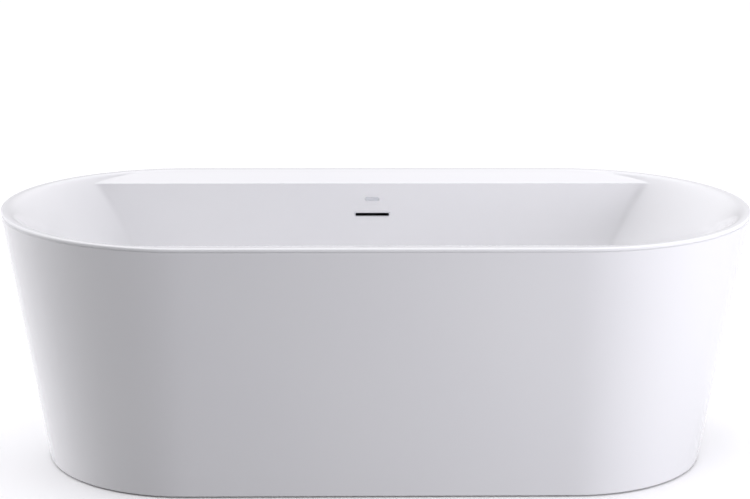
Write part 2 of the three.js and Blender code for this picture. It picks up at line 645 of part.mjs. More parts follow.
function makeWaste() {
  const washerTop = undersideZ - GAP;
  const bodyTop = washerTop - washer.thickness - GAP;
  const outside = socketRadius + socket.wall;
  place("drain_washer", ring(socketRadius, washerRadius, washerTop - washer.thickness, washerTop), rubber);
  const body = turned([
    [socketRadius, bodyTop], [socketRadius, neck.top + 8], [neckBore, neck.top + 2], [neckBore, neck.end],
    [neckRadius, neck.end], [neckRadius, neck.top], [outside, neck.top + 6],
    [outside, bodyTop - socket.flange - 3], [washerRadius, bodyTop - socket.flange],
    [washerRadius, bodyTop], [socketRadius, bodyTop],
  ]);
  const turn = THREE.MathUtils.degToRad(90 - port.yaw);
  const axis = new THREE.Vector3(Math.cos(turn), Math.sin(turn), 0);
  const sideways = (geometry) => geometry.rotateY(Math.PI / 2).rotateZ(turn).translate(0, 0, port.height);
  const tip = portShoulder + GAP + nipple.length;
  const branch = sideways(turned([
    [0, neckBore + 1], [portRadius, neckBore + 1], [portRadius, portShoulder],
    [nipple.radius, portShoulder], [nipple.radius, tip], [0, tip],
  ], 16));
  const bore = sideways(rod(nipple.bore, neckBore / 2, tip + LAP, 16));
  const core = rod(neckBore, neck.end - LAP, neck.top + 1);
  place("waste_body", cut(join(body, branch), core, bore), plastic);

  const nutInner = neckRadius + slipNut.clearance;
  const nutOuter = nutInner + slipNut.wall;
  const tailClear = tail.radius + tail.clearance;
  place("outlet_nut", turned([
    [tailClear, slipNut.bottom], [nutOuter, slipNut.bottom], [nutOuter, slipNut.top],
    [nutInner, slipNut.top], [nutInner, slipNut.bottom + slipNut.floor],
    [tailClear, slipNut.bottom + slipNut.floor], [tailClear, slipNut.bottom],
  ]), softPlastic);
  const sealLow = slipNut.bottom + slipNut.floor + GAP;
  place("outlet_washer", ring(tail.radius + GAP, neckRadius, sealLow, neck.end - GAP), rubber);
  place("tailpiece", ring(tail.radius - tail.wall, tail.radius, tail.bottom, tail.top), chrome);
  const end = axis.clone().multiplyScalar(portShoulder + GAP).setZ(port.height);
  return { end, axis };
}

makeBasin();
makeSkirt();
makeBoard();
makeFrame();
makeFeet();
makeDrainFlange();
makeCartridge();
makePlug();
const branch = makeWaste();
makeHose(makeOverflow(), branch.end, branch.axis);

export default part;
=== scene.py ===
"""A freestanding acrylic bathtub: smooth shells, drain and overflow trim, and the finishes of every part."""

import json
import logging
import math
from dataclasses import dataclass, field
from enum import Enum
from typing import Callable, Sequence

import bmesh
import bpy
from mathutils import Matrix, Vector


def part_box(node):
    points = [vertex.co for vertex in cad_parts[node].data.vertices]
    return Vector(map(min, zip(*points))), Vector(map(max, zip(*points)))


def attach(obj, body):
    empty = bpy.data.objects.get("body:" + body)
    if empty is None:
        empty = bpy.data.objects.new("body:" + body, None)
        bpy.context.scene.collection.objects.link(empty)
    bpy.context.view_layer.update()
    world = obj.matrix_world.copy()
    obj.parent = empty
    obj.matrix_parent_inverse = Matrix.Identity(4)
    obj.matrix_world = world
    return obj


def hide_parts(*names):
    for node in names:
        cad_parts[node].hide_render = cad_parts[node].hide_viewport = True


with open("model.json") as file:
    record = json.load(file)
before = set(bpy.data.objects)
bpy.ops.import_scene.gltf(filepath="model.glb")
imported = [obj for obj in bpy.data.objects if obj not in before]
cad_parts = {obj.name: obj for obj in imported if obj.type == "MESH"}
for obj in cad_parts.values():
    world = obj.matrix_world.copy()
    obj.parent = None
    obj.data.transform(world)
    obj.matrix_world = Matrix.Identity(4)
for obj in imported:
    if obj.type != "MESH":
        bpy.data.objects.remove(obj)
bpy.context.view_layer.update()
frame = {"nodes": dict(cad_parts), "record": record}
LOG = logging.getLogger("bathtub")
MM = 0.001
SMALL_SIDES = 48  # points round a small turned piece

Point = tuple[float, float, float]


# ------------------------------------------------------------------ finishes
def linear(hex_colour: str) -> tuple[float, float, float, float]:
    """Turns an sRGB hex colour into the linear colour that a shader reads.

    Args:
        hex_colour: Six hex digits, such as "f4f4f6".

    Returns:
        Linear red, green, blue and an alpha of 1.
    """
    channels = [int(hex_colour[i : i + 2], 16) / 255 for i in (0, 2, 4)]
    return tuple(c / 12.92 if c <= 0.04045 else ((c + 0.055) / 1.055) ** 2.4 for c in channels) + (1.0,)


def add_node(
    tree: bpy.types.NodeTree, kind: str, settings: dict | None = None, links: dict | None = None
) -> bpy.types.Node:
    """Adds one shader node.

    Args:
        tree: The node tree that takes it.
        kind: The node's Blender type name.
        settings: Node attributes by name, and input values by socket name or index.
        links: Output sockets by the name or index of the input they feed.

    Returns:
        The new node.
    """
    node = tree.nodes.new(kind)
    for name, value in (settings or {}).items():
        if isinstance(name, str) and hasattr(node, name):
            setattr(node, name, value)
        else:
            node.inputs[name].default_value = value
    for name, output in (links or {}).items():
        tree.links.new(output, node.inputs[name])
    return node


class Pattern(Enum):
    """The relief that a finish shows close up."""

    RIPPLE = "slow ripple left by forming a sheet"
    GRAIN = "fine moulded grain"
    BRUSHED = "drawn lines along the piece"
    SPANGLE = "zinc crystals"
    PLYWOOD = "wood grain along X"


@dataclass(frozen=True)
class Finish:
    """One real finish, with its relief sized in millimetres."""

    name: str
    colour: str
    roughness: float
    second: str
    pattern: Pattern
    size_mm: float
    relief_mm: float
    metallic: float = 0.0
    ior: float = 1.5
    coat: float = 0.0
    coat_roughness: float = 0.03
    roughness_spread: float = 0.04

    def pattern_node(self, tree: bpy.types.NodeTree) -> bpy.types.NodeSocket:
        """Adds the pattern on Object coordinates.

        Args:
            tree: The material's node tree.

        Returns:
            The output that runs from 0 to 1 over the pattern.
        """
        place = add_node(tree, "ShaderNodeTexCoord")
        stretch = {
            Pattern.BRUSHED: (0.06, 1.0, 1.0), Pattern.PLYWOOD: (0.08, 1.0, 1.0)
        }.get(self.pattern, (1.0, 1.0, 1.0))
        mapped = add_node(tree, "ShaderNodeMapping", {"Scale": stretch}, {"Vector": place.outputs["Object"]})
        scale = 1 / (self.size_mm * MM)
        if self.pattern is Pattern.SPANGLE:
            cells = add_node(tree, "ShaderNodeTexVoronoi", {"Scale": scale}, {"Vector": mapped.outputs[0]})
            split = add_node(tree, "ShaderNodeSeparateColor", links={0: cells.outputs["Color"]})
            return split.outputs[0]
        detail = {Pattern.RIPPLE: 0.0, Pattern.GRAIN: 3.0}.get(self.pattern, 6.0)
        noise = add_node(
            tree, "ShaderNodeTexNoise", {"Scale": scale, "Detail": detail}, {"Vector": mapped.outputs[0]}
        )
        return noise.outputs["Fac"]

    def material(self) -> bpy.types.Material:
        """Builds the material.

        Returns:
            A node material with varied colour, roughness and relief.
        """
        made = bpy.data.materials.new(self.name)
        made.use_nodes = True
        tree = made.node_tree
        tree.nodes.clear()
        pattern = self.pattern_node(tree)
        colour = add_node(
            tree, "ShaderNodeMix", {"data_type": "RGBA", 6: linear(self.colour), 7: linear(self.second)},
            {0: pattern}
        )
        low, high = self.roughness - self.roughness_spread / 2, self.roughness + self.roughness_spread / 2
        rough = add_node(
            tree, "ShaderNodeMapRange", {"To Min": max(low, 0.01), "To Max": high}, {"Value": pattern}
        )
        bump = add_node(
            tree, "ShaderNodeBump", {"Strength": 1.0, "Distance": self.relief_mm * MM}, {"Height": pattern}
        )
        shader = add_node(
            tree,
            "ShaderNodeBsdfPrincipled",
            {
                "Metallic": self.metallic,
                "IOR": self.ior,
                "Coat Weight": self.coat,
                "Coat Roughness": self.coat_roughness,
            },
            {"Base Color": colour.outputs[2], "Roughness": rough.outputs[0], "Normal": bump.outputs[0]},
        )
        add_node(tree, "ShaderNodeOutputMaterial", links={0: shader.outputs[0]})
        return made


FINISHES: dict[str, Finish] = {
    # Cast acrylic sheet, vacuum formed over glass fibre: a clear, hard skin over opaque white, with long
    # reflections that a slow ripple bends a little.
    "acrylic": Finish(
        "white_acrylic", "f4f4f5", 0.13, "f1f1f3", Pattern.RIPPLE, 260, 0.35, ior=1.49, coat=0.35
    ),
    # Silicone sealant, tooled smooth: a touch duller than the acrylic, so the joint reads as a soft line.
    "bond": Finish("white_sealant", "efeff0", 0.4, "ebebed", Pattern.GRAIN, 6, 0.05),
    # Birch plywood, sanded: warm tan with darker grain along the board, drawn coarser than it is to show.
    "plywood": Finish(
        "birch_plywood", "c19a66", 0.75, "a37a47", Pattern.PLYWOOD, 9, 0.12, roughness_spread=0.1
    ),
    # Hot-dip galvanised steel tube: dull grey, with zinc crystals that catch the light one by one.
    "frame_steel": Finish(
        "galvanised_tube", "a9aeb3", 0.42, "8d9398", Pattern.SPANGLE, 9, 0.02, metallic=1.0,
        roughness_spread=0.16
    ),
    # Zinc plate on turned steel: light grey with drawn lines, which are drawn coarser than they are.
    "zinc_steel": Finish(
        "zinc_plate", "c3c6c8", 0.28, "b2b5b8", Pattern.BRUSHED, 1.6, 0.01, metallic=1.0, roughness_spread=0.1
    ),
    # Injection-moulded nylon: near black and half matt, its moulded grain drawn coarser than it is.
    "nylon": Finish("black_nylon", "1c1c1e", 0.55, "232325", Pattern.GRAIN, 1.2, 0.03),
    # Moulded rubber: deep matt black that hardly reflects, its grain drawn coarser than it is.
    "rubber": Finish("black_rubber", "141414", 0.8, "1b1b1b", Pattern.GRAIN, 1.5, 0.04, roughness_spread=0.1),
    # Chrome plate on polished brass: a mirror with crisp bands, bent a little by the polishing.
    "chrome": Finish(
        "chrome_plate", "dfe1e4", 0.06, "d9dbdf", Pattern.RIPPLE, 40, 0.01, metallic=1.0,
        roughness_spread=0.03
    ),
    # Injection-moulded ABS: dark grey with a half gloss, its grain drawn coarser than it is.
    "black_plastic": Finish("black_abs", "26272a", 0.4, "2c2d30", Pattern.GRAIN, 1.4, 0.03, ior=1.53),
    # Injection-moulded polypropylene: cool light grey, with the waxy half gloss of the raw plastic.
    "white_plastic": Finish("grey_white_pp", "d2d3d5", 0.42, "c9cacc", Pattern.GRAIN, 1.8, 0.04),
    # Turned brass: warm yellow, its tool marks drawn coarser than they are.
    "brass": Finish(
        "turned_brass", "c49a52", 0.26, "b48945", Pattern.BRUSHED, 0.9, 0.015, metallic=1.0,
        roughness_spread=0.1
    ),
}


class Workshop:
    """The finishes once made, and how a piece or a CAD node is dressed with one."""

    def __init__(self) -> None:
        """Makes every material once."""
        self.materials = {slot: finish.material() for slot, finish in FINISHES.items()}

    def dress_nodes(self) -> None:
        """Gives each CAD node the finish of its material slot."""
        slots = {entry["node"]: entry["material_slot"] for entry in frame["record"]["subparts"]}
        for name, node in frame["nodes"].items():
            node.data.materials.clear()
            node.data.materials.append(self.materials[slots[name]])

    def finish_piece(self, piece: bpy.types.Object, slot: str, body: str, *nodes: str) -> bpy.types.Object:
        """Dresses a new piece, and puts it on its body in place of its CAD nodes.

        Args:
            piece: The new piece, in its place.
            slot: Its material slot.
            body: The body that it moves with.
            nodes: The CAD nodes that it stands for.

        Returns:
            The same piece.
        """
        piece.data.materials.clear()
        piece.data.materials.append(self.materials[slot])
        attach(piece, body)
        if nodes:
            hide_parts(*nodes)
        LOG.info("%s: %d faces, %s, on %s", piece.name, len(piece.data.polygons), slot, body)
        return piece


# ------------------------------------------------------------------ modelling
class Loft:
    """A shell drawn up from a circle, one edge loop at a time."""

    @staticmethod
    def start(name: str, sides: int) -> bpy.types.Object:
        """Adds the first loop, numbered round.

        Args:
            name: The piece's name.
            sides: Points in every loop.

        Returns:
            The object, left in edit mode.
        """
        bpy.ops.object.select_all(action="DESELECT")
        bpy.ops.mesh.primitive_circle_add(vertices=sides, radius=1, enter_editmode=True)
        piece = bpy.context.object
        piece.name = piece.data.name = name
        shape = bmesh.from_edit_mesh(piece.data)
        number = shape.verts.layers.int.new("place")
        ordered = sorted(shape.verts, key=lambda v: math.atan2(v.co.y, v.co.x) % (2 * math.pi))
        for index, vertex in enumerate(ordered):
            vertex[number] = index
        bmesh.update_edit_mesh(piece.data)
        return piece

    @staticmethod
    def settle(piece: bpy.types.Object, loop: Sequence[Point]) -> None:
        """Moves the selected loop's points to their places.

        Args:
            piece: The object in edit mode.
            loop: One point for each number.
        """
        shape = bmesh.from_edit_mesh(piece.data)
        number = shape.verts.layers.int["place"]
        shape.verts.ensure_lookup_table()
        for index in range(len(shape.verts) - len(loop), len(shape.verts)):
            vertex = shape.verts[index]
            vertex.co = loop[vertex[number]]
        bmesh.update_edit_mesh(piece.data, loop_triangles=False, destructive=False)

    @classmethod
    def build(
        cls, name: str, loops: Sequence[Sequence[Point]], closed: bool = True, crease: float = 32
    ) -> bpy.types.Object:
        """Extrudes from loop to loop, and joins the last to the first.

        Args:
            name: The piece's name.
            loops: Loops of points in metres, all of one length.
            closed: Whether the last loop meets the first.
            crease: The angle in degrees over which an edge stays sharp.

        Returns:
            The finished object, in object mode.
        """
        piece = cls.start(name, len(loops[0]))
        cls.settle(piece, loops[0])
        for loop in list(loops[1:]) + ([loops[0]] if closed else []):
            bpy.ops.mesh.extrude_region_move()
            cls.settle(piece, loop)
        bpy.ops.mesh.select_all(action="SELECT")
        bpy.ops.mesh.remove_doubles(threshold=1e-6)
        bpy.ops.mesh.normals_make_consistent(inside=False)
        bpy.ops.object.mode_set(mode="OBJECT")
        piece.data.attributes.remove(piece.data.attributes["place"])
        bpy.ops.object.shade_smooth_by_angle(angle=math.radians(crease))
        return piece


def turned(
    name: str, profile: Sequence[tuple[float, float]], centre: Point = (0, 0, 0), sides: int = 96,
    crease: float = 32
) -> bpy.types.Object:
    """Makes a turned piece about a vertical axis.

    Args:
        name: The piece's name.
        profile: (radius, height) pairs in millimetres. It starts and ends on the axis, or the last meets
            the first.
        centre: The axis' foot, in metres.
        sides: Points round the piece.
        crease: The angle in degrees over which an edge stays sharp.

    Returns:
        The finished object.
    """
    turns = [2 * math.pi * i / sides for i in range(sides)]
    loops = [
        [
            (
                centre[0] + r * MM * math.cos(t), centre[1] + r * MM * math.sin(t), centre[2] + z * MM
            ) for t in turns
        ]
        for r, z in profile
    ]
    return Loft.build(name, loops, closed=profile[0][0] > 0, crease=crease)


def rounded_corner(
    corner: tuple[float, float], radius: float, start: float, end: float, steps: int = 5
) -> list[tuple[float, float]]:
    """Draws an arc for a turned profile.

    Args:
        corner: The arc's centre as radius and height, in millimetres.
        radius: The arc's radius.
        start: The first angle in degrees.
        end: The last angle in degrees.
        steps: Segments along the arc.

    Returns:
        Points along the arc.
    """
    turns = [math.radians(start + (end - start) * k / steps) for k in range(steps + 1)]
    return [(corner[0] + radius * math.cos(t), corner[1] + radius * math.sin(t)) for t in turns]


def threads(crest: float, depth: float, low: float, high: float, pitch: float) -> list[tuple[float, float]]:
    """Draws a row of ridges for a turned profile, rising.

    Args:
        crest: The ridges' radius, in millimetres.
        depth: How far the grooves between them go in.
        low: The first groove's height.
        high: No groove starts at this height or over it.
        pitch: From one ridge to the next.

    Returns:
        Points along the ridges.
    """
    points = []
    while low < high:
        points += [(crest - depth, low), (crest, low + pitch / 2)]
        low += pitch
    return points


def hexagon(turn: float, half: float) -> float:
    """How far a hexagon reaches in a direction.

    Args:
        turn: The direction in radians, with a corner at 0.
        half: Half its width across the flats.

    Returns:
        The reach, in the units of its width.
    """
    return half / math.cos(turn % (math.pi / 3) - math.pi / 6)


def sharpened(piece: bpy.types.Object, crease: float) -> bpy.types.Object:
    """Shades a piece smooth again after it was cut.

    Args:
        piece: The piece, which is the active one.
        crease: The angle in degrees over which an edge stays sharp.

    Returns:
        The same piece.
    """
    bpy.ops.object.shade_smooth_by_angle(angle=math.radians(crease))
    return piece


def around(sides: int, reach: Callable[[float], float], height: float) -> list[Point]:
    """Places a loop of points round the vertical axis.

    Args:
        sides: How many points.
        reach: The radius in millimetres in each direction.
        height: The loop's height in millimetres.

    Returns:
        The points in metres.
    """
    turns = [2 * math.pi * i / sides for i in range(sides)]
    return [(reach(t) * MM * math.cos(t), reach(t) * MM * math.sin(t), height * MM) for t in turns]


def outline(length: float, height: float, radius: float, steps: int = 8) -> list[tuple[float, float]]:
    """Draws a rounded rectangle, counted round from its right side.

    Args:
        length: Its length in millimetres.
        height: Its height.
        radius: Its corners' radius.
        steps: Points on each corner.

    Returns:
        The points in millimetres.
    """
    x, y = length / 2 - radius, height / 2 - radius
    points = []
    for quarter, (cx, cy) in enumerate(((x, y), (-x, y), (-x, -y), (x, -y))):
        for k in range(steps):
            turn = math.pi / 2 * (quarter + k / (steps - 1))
            points.append((cx + radius * math.cos(turn), cy + radius * math.sin(turn)))
    return points


def lofted(
    name: str, rings: Sequence[tuple[float, float, float, float]], place: Matrix, closed: bool = True,
    steps: int = 8
) -> bpy.types.Object:
    """Lofts rounded rectangles along their own Y axis.

    Args:
        name: The piece's name.
        rings: Length, height, corner radius and place along Y of each, in millimetres.
        place: Where the piece's own axes are.
        closed: Whether the last ring meets the first.
        steps: Points on each corner.

    Returns:
        The finished object.
    """
    loops = [
        [tuple(place @ (Vector((px, along, pz)) * MM)) for px, pz in outline(length, height, radius, steps)]
        for length, height, radius, along in rings
    ]
    return Loft.build(name, loops, closed=closed, crease=35)


def combined(piece: bpy.types.Object, other: bpy.types.Object, how: str = "DIFFERENCE") -> None:
    """Cuts one solid with another, or adds it.

    Args:
        piece: The solid that stays.
        other: The solid that is used up.
        how: "DIFFERENCE" or "UNION".
    """
    bpy.ops.object.select_all(action="DESELECT")
    bpy.context.view_layer.objects.active = piece
    change = piece.modifiers.new("combine", "BOOLEAN")
    change.operation = how
    change.object = other
    bpy.ops.object.modifier_apply(modifier=change.name)
    bpy.data.objects.remove(other)
    piece.select_set(True)
    bpy.ops.object.mode_set(mode="EDIT")
    bpy.ops.mesh.select_all(action="SELECT")
    bpy.ops.mesh.remove_doubles(threshold=1e-6)
    bpy.ops.object.mode_set(mode="OBJECT")


def copied(piece: bpy.types.Object, name: str, move: Vector) -> bpy.types.Object:
    """Copies a piece with its own mesh.

    Args:
        piece: The piece to copy.
        name: The copy's name.
        move: How far the copy is moved, in metres.

    Returns:
        The copy.
    """
    mesh = piece.data.copy()
    mesh.transform(Matrix.Translation(move))
    twin = bpy.data.objects.new(name, mesh)
    mesh.name = name
    bpy.context.scene.collection.objects.link(twin)
    return twin


def softened(node: str, name: str, levels: int, crease: float = 40) -> bpy.types.Object:
    """Makes a smooth piece from a CAD node's faceted solid.

    Args:
        node: The CAD node.
        name: The new piece's name.
        levels: Subdivision levels.
        crease: The angle in degrees over which an edge stays sharp.

    Returns:
        The finished object.
    """
    piece = copied(frame["nodes"][node], name, Vector((0, 0, 0)))
    bpy.ops.object.select_all(action="DESELECT")
    piece.select_set(True)
    bpy.context.view_layer.objects.active = piece
    bpy.ops.object.mode_set(mode="EDIT")
    bpy.ops.mesh.select_all(action="SELECT")
    bpy.ops.mesh.remove_doubles(threshold=1e-5)
    bpy.ops.mesh.tris_convert_to_quads()
    bpy.ops.mesh.select_all(action="DESELECT")
    bpy.ops.mesh.edges_select_sharp(sharpness=math.radians(crease))
    bpy.ops.transform.edge_crease(value=1)
    bpy.ops.object.mode_set(mode="OBJECT")
    smooth = piece.modifiers.new("smooth", "SUBSURF")
    smooth.levels = smooth.render_levels = levels
    bpy.ops.object.modifier_apply(modifier=smooth.name)
    bpy.ops.object.shade_smooth_by_angle(angle=math.radians(crease))
    return piece


def slab(
    name: str, place: Matrix, length: float, height: float, depth: float, ease: float
) -> bpy.types.Object:
    """Makes a block with eased edges, from its own Y = 0 to Y = depth.

    Args:
        name: The piece's name.
        place: Where the block's own axes are.
        length: Its size along X in millimetres.
        height: Its size along Z.
        depth: Its size along Y.
        ease: How much its edges are taken off.

    Returns:
        The finished object.
    """
    rings = [(0.4, 0.4, 0.1, 0)]
    for along, inset in (
        (0, ease), (ease * 0.3, ease * 0.3), (ease, 0), (depth - ease, 0), (depth - ease * 0.3, ease * 0.3),
        (depth, ease)
    ):
        rings.append((length - 2 * inset, height - 2 * inset, max(ease - inset, 0) + 0.05, along))
    rings.append((0.4, 0.4, 0.1, depth))
    return capped(lofted(name, rings, place, closed=False, steps=4))


def capped(piece: bpy.types.Object) -> bpy.types.Object:
    """Closes every open edge of a piece.

    Args:
        piece: A piece with open ends.

    Returns:
        The same piece.
    """
    bpy.ops.object.mode_set(mode="EDIT")
    bpy.ops.mesh.select_all(action="DESELECT")
    bpy.ops.mesh.select_non_manifold()
    bpy.ops.mesh.edge_face_add()
    bpy.ops.mesh.select_all(action="SELECT")
    bpy.ops.mesh.normals_make_consistent(inside=False)
    bpy.ops.object.mode_set(mode="OBJECT")
    return piece


def heights(node: str) -> tuple[float, float]:
    """Finds how high a CAD node reaches.

    Args:
        node: The CAD node.

    Returns:
        Its lowest and highest heights in millimetres.
    """
    low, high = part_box(node)
    return low.z / MM, high.z / MM


def middle_of(node: str) -> Vector:
    """Finds the middle of a CAD node's box.

    Args:
        node: The CAD node.

    Returns:
        The middle in metres.
    """
    low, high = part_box(node)
    return (Vector(low) + Vector(high)) / 2


# ------------------------------------------------------------------ the shells
@dataclass(frozen=True)
class Oval:
    """A plan with straight sides at +-across up to +-centre, then half ellipses that reach along further."""

    centre: float
    along: float
    across: float

    def reach(self, turn: float) -> float:
        """Works out how far the plan reaches from the middle.

        Args:
            turn: The direction in radians.

        Returns:
            The reach in millimetres.
        """
        c, s = abs(math.cos(turn)), abs(math.sin(turn))
        a = (c / self.along) ** 2 + (s / self.across) ** 2
        b = c * self.centre / self.along**2
        root = b * b - a * ((self.centre / self.along) ** 2 - 1)
        end = (b + math.sqrt(root)) / a if root > 0 else 0.0
        return end if end * c >= self.centre else self.across / s


@dataclass
class TubShape:
    """The tub's plan and section, in millimetres."""

    half_length: float = field(default_factory=lambda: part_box("inner_basin")[1].x / MM)
    half_width: float = field(default_factory=lambda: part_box("inner_basin")[1].y / MM)
    height: float = field(default_factory=lambda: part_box("inner_basin")[1].z / MM)
    underside: float = field(default_factory=lambda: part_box("inner_basin")[0].z / MM)
    skirt_top: float = field(default_factory=lambda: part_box("outer_skirt")[1].z / MM)
    skirt_foot: float = field(default_factory=lambda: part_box("outer_skirt")[0].z / MM)
    end_round: float = 420
    end_taper: float = 105
    side_taper: float = 55
    rim_width: float = 18
    ledge_width: float = 77
    ledge_drop: float = 16
    shell: float = 8
    side_lean: float = 30
    floor_length: float = 1090
    end_bow: float = 100
    fillet: float = 62
    fall: float = 5
    slope: float = 0.74
    edge: float = 5

    def __post_init__(self) -> None:
        """Works out the directions of a contour's points, closest together where the side meets the end."""
        quarter: list[float] = []
        for low, high, count in ((0, 22, 34), (22, 37, 62), (37, 90, 44)):
            quarter += [math.radians(low + (high - low) * k / count) for k in range(count)]
        back = [math.pi - t for t in reversed(quarter[1:])]
        half = quarter + [math.pi / 2] + back
        self.turns = half + [t + math.pi for t in half]
        self.depth = self.height - self.underside - self.shell
        self.end_centre = self.half_length - self.end_round
        self.wall_top = self.half_width - self.rim_width - self.ledge_width

    def outer(self, height: float, inset: float = 0) -> list[Point]:
        """The skirt's outer contour at a height.

        Args:
            height: Height above the floor.
            inset: How far inside that surface.

        Returns:
            The contour's points in metres.
        """
        share = 1 - height / self.height
        plan = Oval(
            self.end_centre,
            self.end_round - self.end_taper * share - inset,
            self.half_width - self.side_taper * share - inset,
        )
        return self.loop(plan.reach, height)

    def loop(self, reach: Callable[[float], float], height: float) -> list[Point]:
        """Places a contour's points at one height, in metres."""
        return [(reach(t) * math.cos(t) * MM, reach(t) * math.sin(t) * MM, height * MM) for t in self.turns]

    def wall(self, depth: float) -> float:
        """Works out half the distance between the long inner walls, with the ledge's edge eased over.

        Args:
            depth: Depth below the rim's top, in millimetres.

        Returns:
            Half the distance in millimetres.
        """
        ledge_slope = self.ledge_width / self.ledge_drop
        lean = self.side_lean / (self.depth - self.ledge_drop)
        on_ledge = self.wall_top + (self.ledge_drop - depth) * ledge_slope
        on_wall = self.wall_top + (self.ledge_drop - depth) * lean
        ease = 2.2
        return on_wall + ease * math.log1p(math.exp(min((on_ledge - on_wall) / ease, 60)))

    def inner_reach(self, depth: float, grow: float) -> Callable[[float], float]:
        """The basin's plan at a depth below the rim.

        Args:
            depth: Depth below the rim's top.
            grow: How far outside the inner surface.

        Returns:
            The reach in each direction.
        """
        share = min(max(depth, 0) / self.depth, 1) ** self.slope
        ratio = 1.5
        foot_along = self.end_bow / (1 - math.sqrt(1 - 1 / ratio**2))
        foot_across = (self.wall_top - self.side_lean) * ratio
        plan = Oval(
            self.end_centre + (self.floor_length / 2 - foot_along - self.end_centre) * share,
            self.end_round - self.rim_width + (foot_along - self.end_round + self.rim_width) * share + grow,
            self.half_width - self.rim_width + (
                foot_across - self.half_width + self.rim_width
            ) * share + grow,
        )
        wall = self.wall(depth) + grow
        below = min(max(depth - self.ledge_drop, 0) / (self.depth - self.ledge_drop), 1)
        sharp = 24 + 130 * (1 - below) ** 2

        def reach(turn: float) -> float:
            """The oval's reach, drawn in to the long wall."""
            end = plan.reach(turn)
            past = end * abs(math.sin(turn)) / wall
            return end * (1 + past**sharp) ** (-1 / sharp)

        return reach

    def inner(self, depth: float, grow: float = 0, height: float | None = None) -> list[Point]:
        """The basin's contour at a depth, at that depth's height unless another is given."""
        return self.loop(self.inner_reach(depth, grow), self.height - depth if height is None else height)


